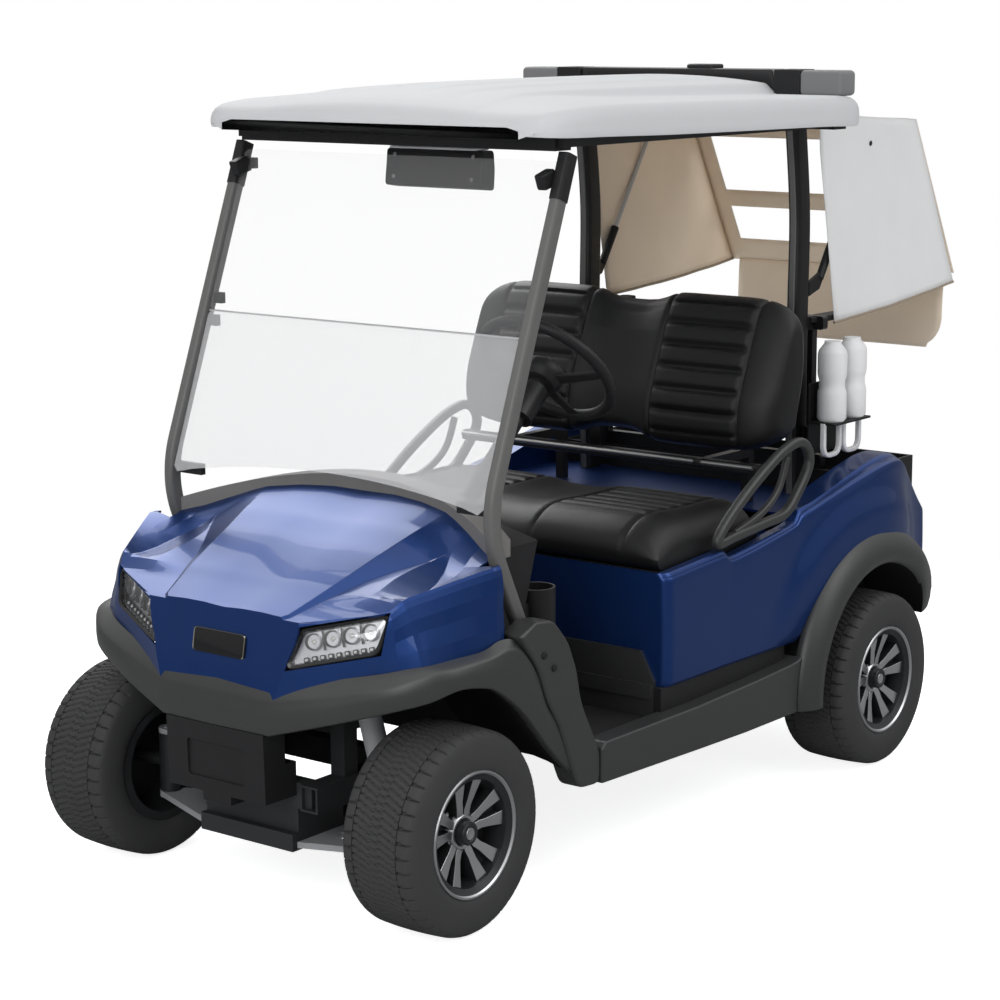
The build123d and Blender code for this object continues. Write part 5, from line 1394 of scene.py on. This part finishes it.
# rods that hold the cover up, with their black ends and brackets on the rear struts
ARM_Y, ARM_TOP, ARM_FOOT = 352, (AR - 297, 1610), (AR - 72, 1266)
for hand, side in SIDES:
    top, foot = (Vector((x, hand * ARM_Y, z)) for x, z in (ARM_TOP, ARM_FOOT))
    tube(f"cover_arm_{side}", [foot, foot.lerp(top, 0.5), top], 6, ROD_GREY, slot="arm_grey")
    tube(f"cover_arm_sleeve_{side}", [foot, foot.lerp(top, 0.28)], 11, BLACK, n=16, slot="black_plastic")
    tube(f"cover_arm_pin_{side}", [top, top + Vector((0, hand * 18, 0))], 7, BLACK, slot="black_plastic")
    bracket = [(AR - 14, 1222), (AR - 14, 1262), (AR - 66, 1282), (AR - 84, 1262), (AR - 68, 1238)]
    prism(f"cover_arm_bracket_{side}", bracket, at_y(hand * ARM_Y - 4), 8, BLACK_METAL, edge=2,
          slot="black_metal")

# top plate of the bag frame, beside the struts
for hand, side in SIDES:
    top_plate = [(AR - x, hand * y) for x, y in (
        (30, 318), (196, 322), (204, 352), (190, 366), (60, 366), (30, 356))]
    prism(f"bag_frame_plate_{side}", top_plate, at_z(1150), 16, BLACK, edge=3, slot="black_plastic")

# ---------------------------------------------------------------- sand bottles
RACK_X = AR - 31
rack = [prism("shelf", [(RACK_X - 93, 408), (RACK_X + 93, 408), (RACK_X + 93, 486), (RACK_X - 93, 486)],
              at_z(899), 6, BLACK, edge=1),
        prism("rack_back", round_rect(186, 190, 10, RACK_X, 910), at_y(402), 6, BLACK, edge=1.5),
        prism("rack_arm", [(AR - 14, 356), (AR + 18, 356), (AR + 18, 404), (AR - 14, 404)], at_z(822), 60,
              BLACK, edge=2)]
rack = join("bottle_rack", rack)
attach(rack, "chassis")
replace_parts(rack, "bottle_holder")
BOTTLE_SIDE = [(0.1, 906), (33, 906), (38.5, 914), (38.5, 976), (37, 986), (34, 994), (34, 1014), (37, 1022),
               (38.5, 1034), (38.5, 1082), (36, 1092), (27, 1104), (22, 1110), (22, 1116), (0.1, 1116)]
BOTTLE_Y = 450
for k, bx in enumerate((AR + 19, AR - 82)):
    rows = spin(48, lambda w: BOTTLE_SIDE, lambda a, b, c: (bx + a, BOTTLE_Y + b, c))
    bottle = grid(f"sand_bottle_{k + 1}", rows, BOTTLE, wrap_rows=True, slot="bottle_white", sharp=40)
    strap = [(bx + x, BOTTLE_Y, z) for x, z in ((-40, 903), (-40, 816), (40, 816), (40, 903))]
    sweep(f"bottle_strap_{k + 1}", fillet_line(strap, 30, 8), round_rect(14, 12, 3), BOTTLE, up=(0, 1, 0),
          slot="bottle_white", sharp=60)
    if k == 0:
        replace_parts(bottle, "sand_bottles")

# ---------------------------------------------------------------- stage, light
floor_mat = bpy.data.materials.new("floor")
floor_mat.use_nodes = True
tree = floor_mat.node_tree
tree.nodes.clear()
# the camera sees a lit floor with the cart's shadow, which fades to plain white further out
matte = node(tree, "BsdfDiffuse", {"Color": (0.92, 0.92, 0.92, 1)}).outputs[0]
lift = node(tree, "Emission", {"Strength": 0.84}).outputs[0]
near = node(tree, "AddShader", {0: matte, 1: lift}).outputs[0]
glow = node(tree, "Emission", {"Strength": 1}).outputs[0]
spot = node(tree, "TexCoord", {}).outputs["Object"]
reach = node(tree, "VectorMath", {0: spot}, operation="LENGTH").outputs["Value"]
fade = node(tree, "MapRange", {"From Min": 1.7, "From Max": 3.2, "Value": reach},
            interpolation_type="SMOOTHSTEP").outputs["Result"]
shown = node(tree, "MixShader", {0: fade, 1: near, 2: glow}).outputs[0]
ray = node(tree, "LightPath", {}).outputs
seen = node(tree, "Math", {0: ray["Is Camera Ray"], 1: ray["Is Transmission Ray"]}, operation="MAXIMUM")
# other rays see it unlit, and reflections see it darker still
dim = node(tree, "BsdfDiffuse", {"Color": (0.35, 0.35, 0.35, 1)}).outputs[0]
under = node(tree, "MixShader", {0: ray["Is Glossy Ray"], 1: matte, 2: dim}).outputs[0]
mix = node(tree, "MixShader", {0: seen.outputs[0], 1: under, 2: shown})
node(tree, "OutputMaterial", {0: mix.outputs[0]})
bpy.ops.mesh.primitive_plane_add(size=200, location=(0, 0, -0.001))
floor = bpy.context.object
floor.name = "stage_floor"
floor.data.materials.append(floor_mat)

world = bpy.data.worlds.new("studio")
bpy.context.scene.world = world
world.use_nodes = True
tree = world.node_tree
back = tree.nodes["Background"]
plug(tree, back, {"Color": (0.62, 0.63, 0.65, 1), "Strength": 0.62})
# reflections see a studio that is dark at the horizon and bright overhead; the camera sees white
ray = node(tree, "LightPath", {}).outputs
sky = node(tree, "TexCoord", {}).outputs["Generated"]
up = node(tree, "SeparateXYZ", {0: sky}).outputs["Z"]
span = {"From Min": 0.1, "From Max": 0.75, "To Min": 0.36, "To Max": 1.12, "Value": up}
height = node(tree, "MapRange", span, interpolation_type="SMOOTHSTEP").outputs["Result"]
full = node(tree, "Math", {0: height, 1: ray["Is Camera Ray"]}, operation="MAXIMUM").outputs[0]
white = node(tree, "Background", {"Color": (1, 1, 1, 1), "Strength": full}).outputs[0]
mirrored = node(tree, "Math", {0: ray["Is Glossy Ray"], 1: ray["Is Transmission Ray"]}, operation="MAXIMUM")
seen = node(tree, "Math", {0: ray["Is Camera Ray"], 1: mirrored.outputs[0]}, operation="MAXIMUM")
mix = node(tree, "MixShader", {0: seen.outputs[0], 1: back.outputs[0], 2: white})
plug(tree, tree.nodes["World Output"], {0: mix.outputs[0]})


def area_light(name, at, aim, size, power):
    data = bpy.data.lights.new(name, "AREA")
    data.shape = "RECTANGLE"
    data.size, data.size_y = size
    data.energy = power
    obj = bpy.data.objects.new(name, data)
    collection.objects.link(obj)
    obj.location = at
    obj.rotation_euler = (Vector(aim) - Vector(at)).to_track_quat("-Z", "Y").to_euler()


area_light("top", (0.8, 0.5, 5.5), (0, 0, 0.8), (5, 4), 42)
area_light("back_right", (-2.6, -4.2, 5.2), (0.4, 0, 0.8), (4, 4), 185)
area_light("front_left", (5.5, 1.6, 2.8), (0.3, 0, 0.8), (3, 3), 100)
area_light("left", (-1.2, 4.4, 4.6), (0, 0, 0.9), (4, 3), 75)
bpy.context.scene.view_settings.view_transform = "Standard"
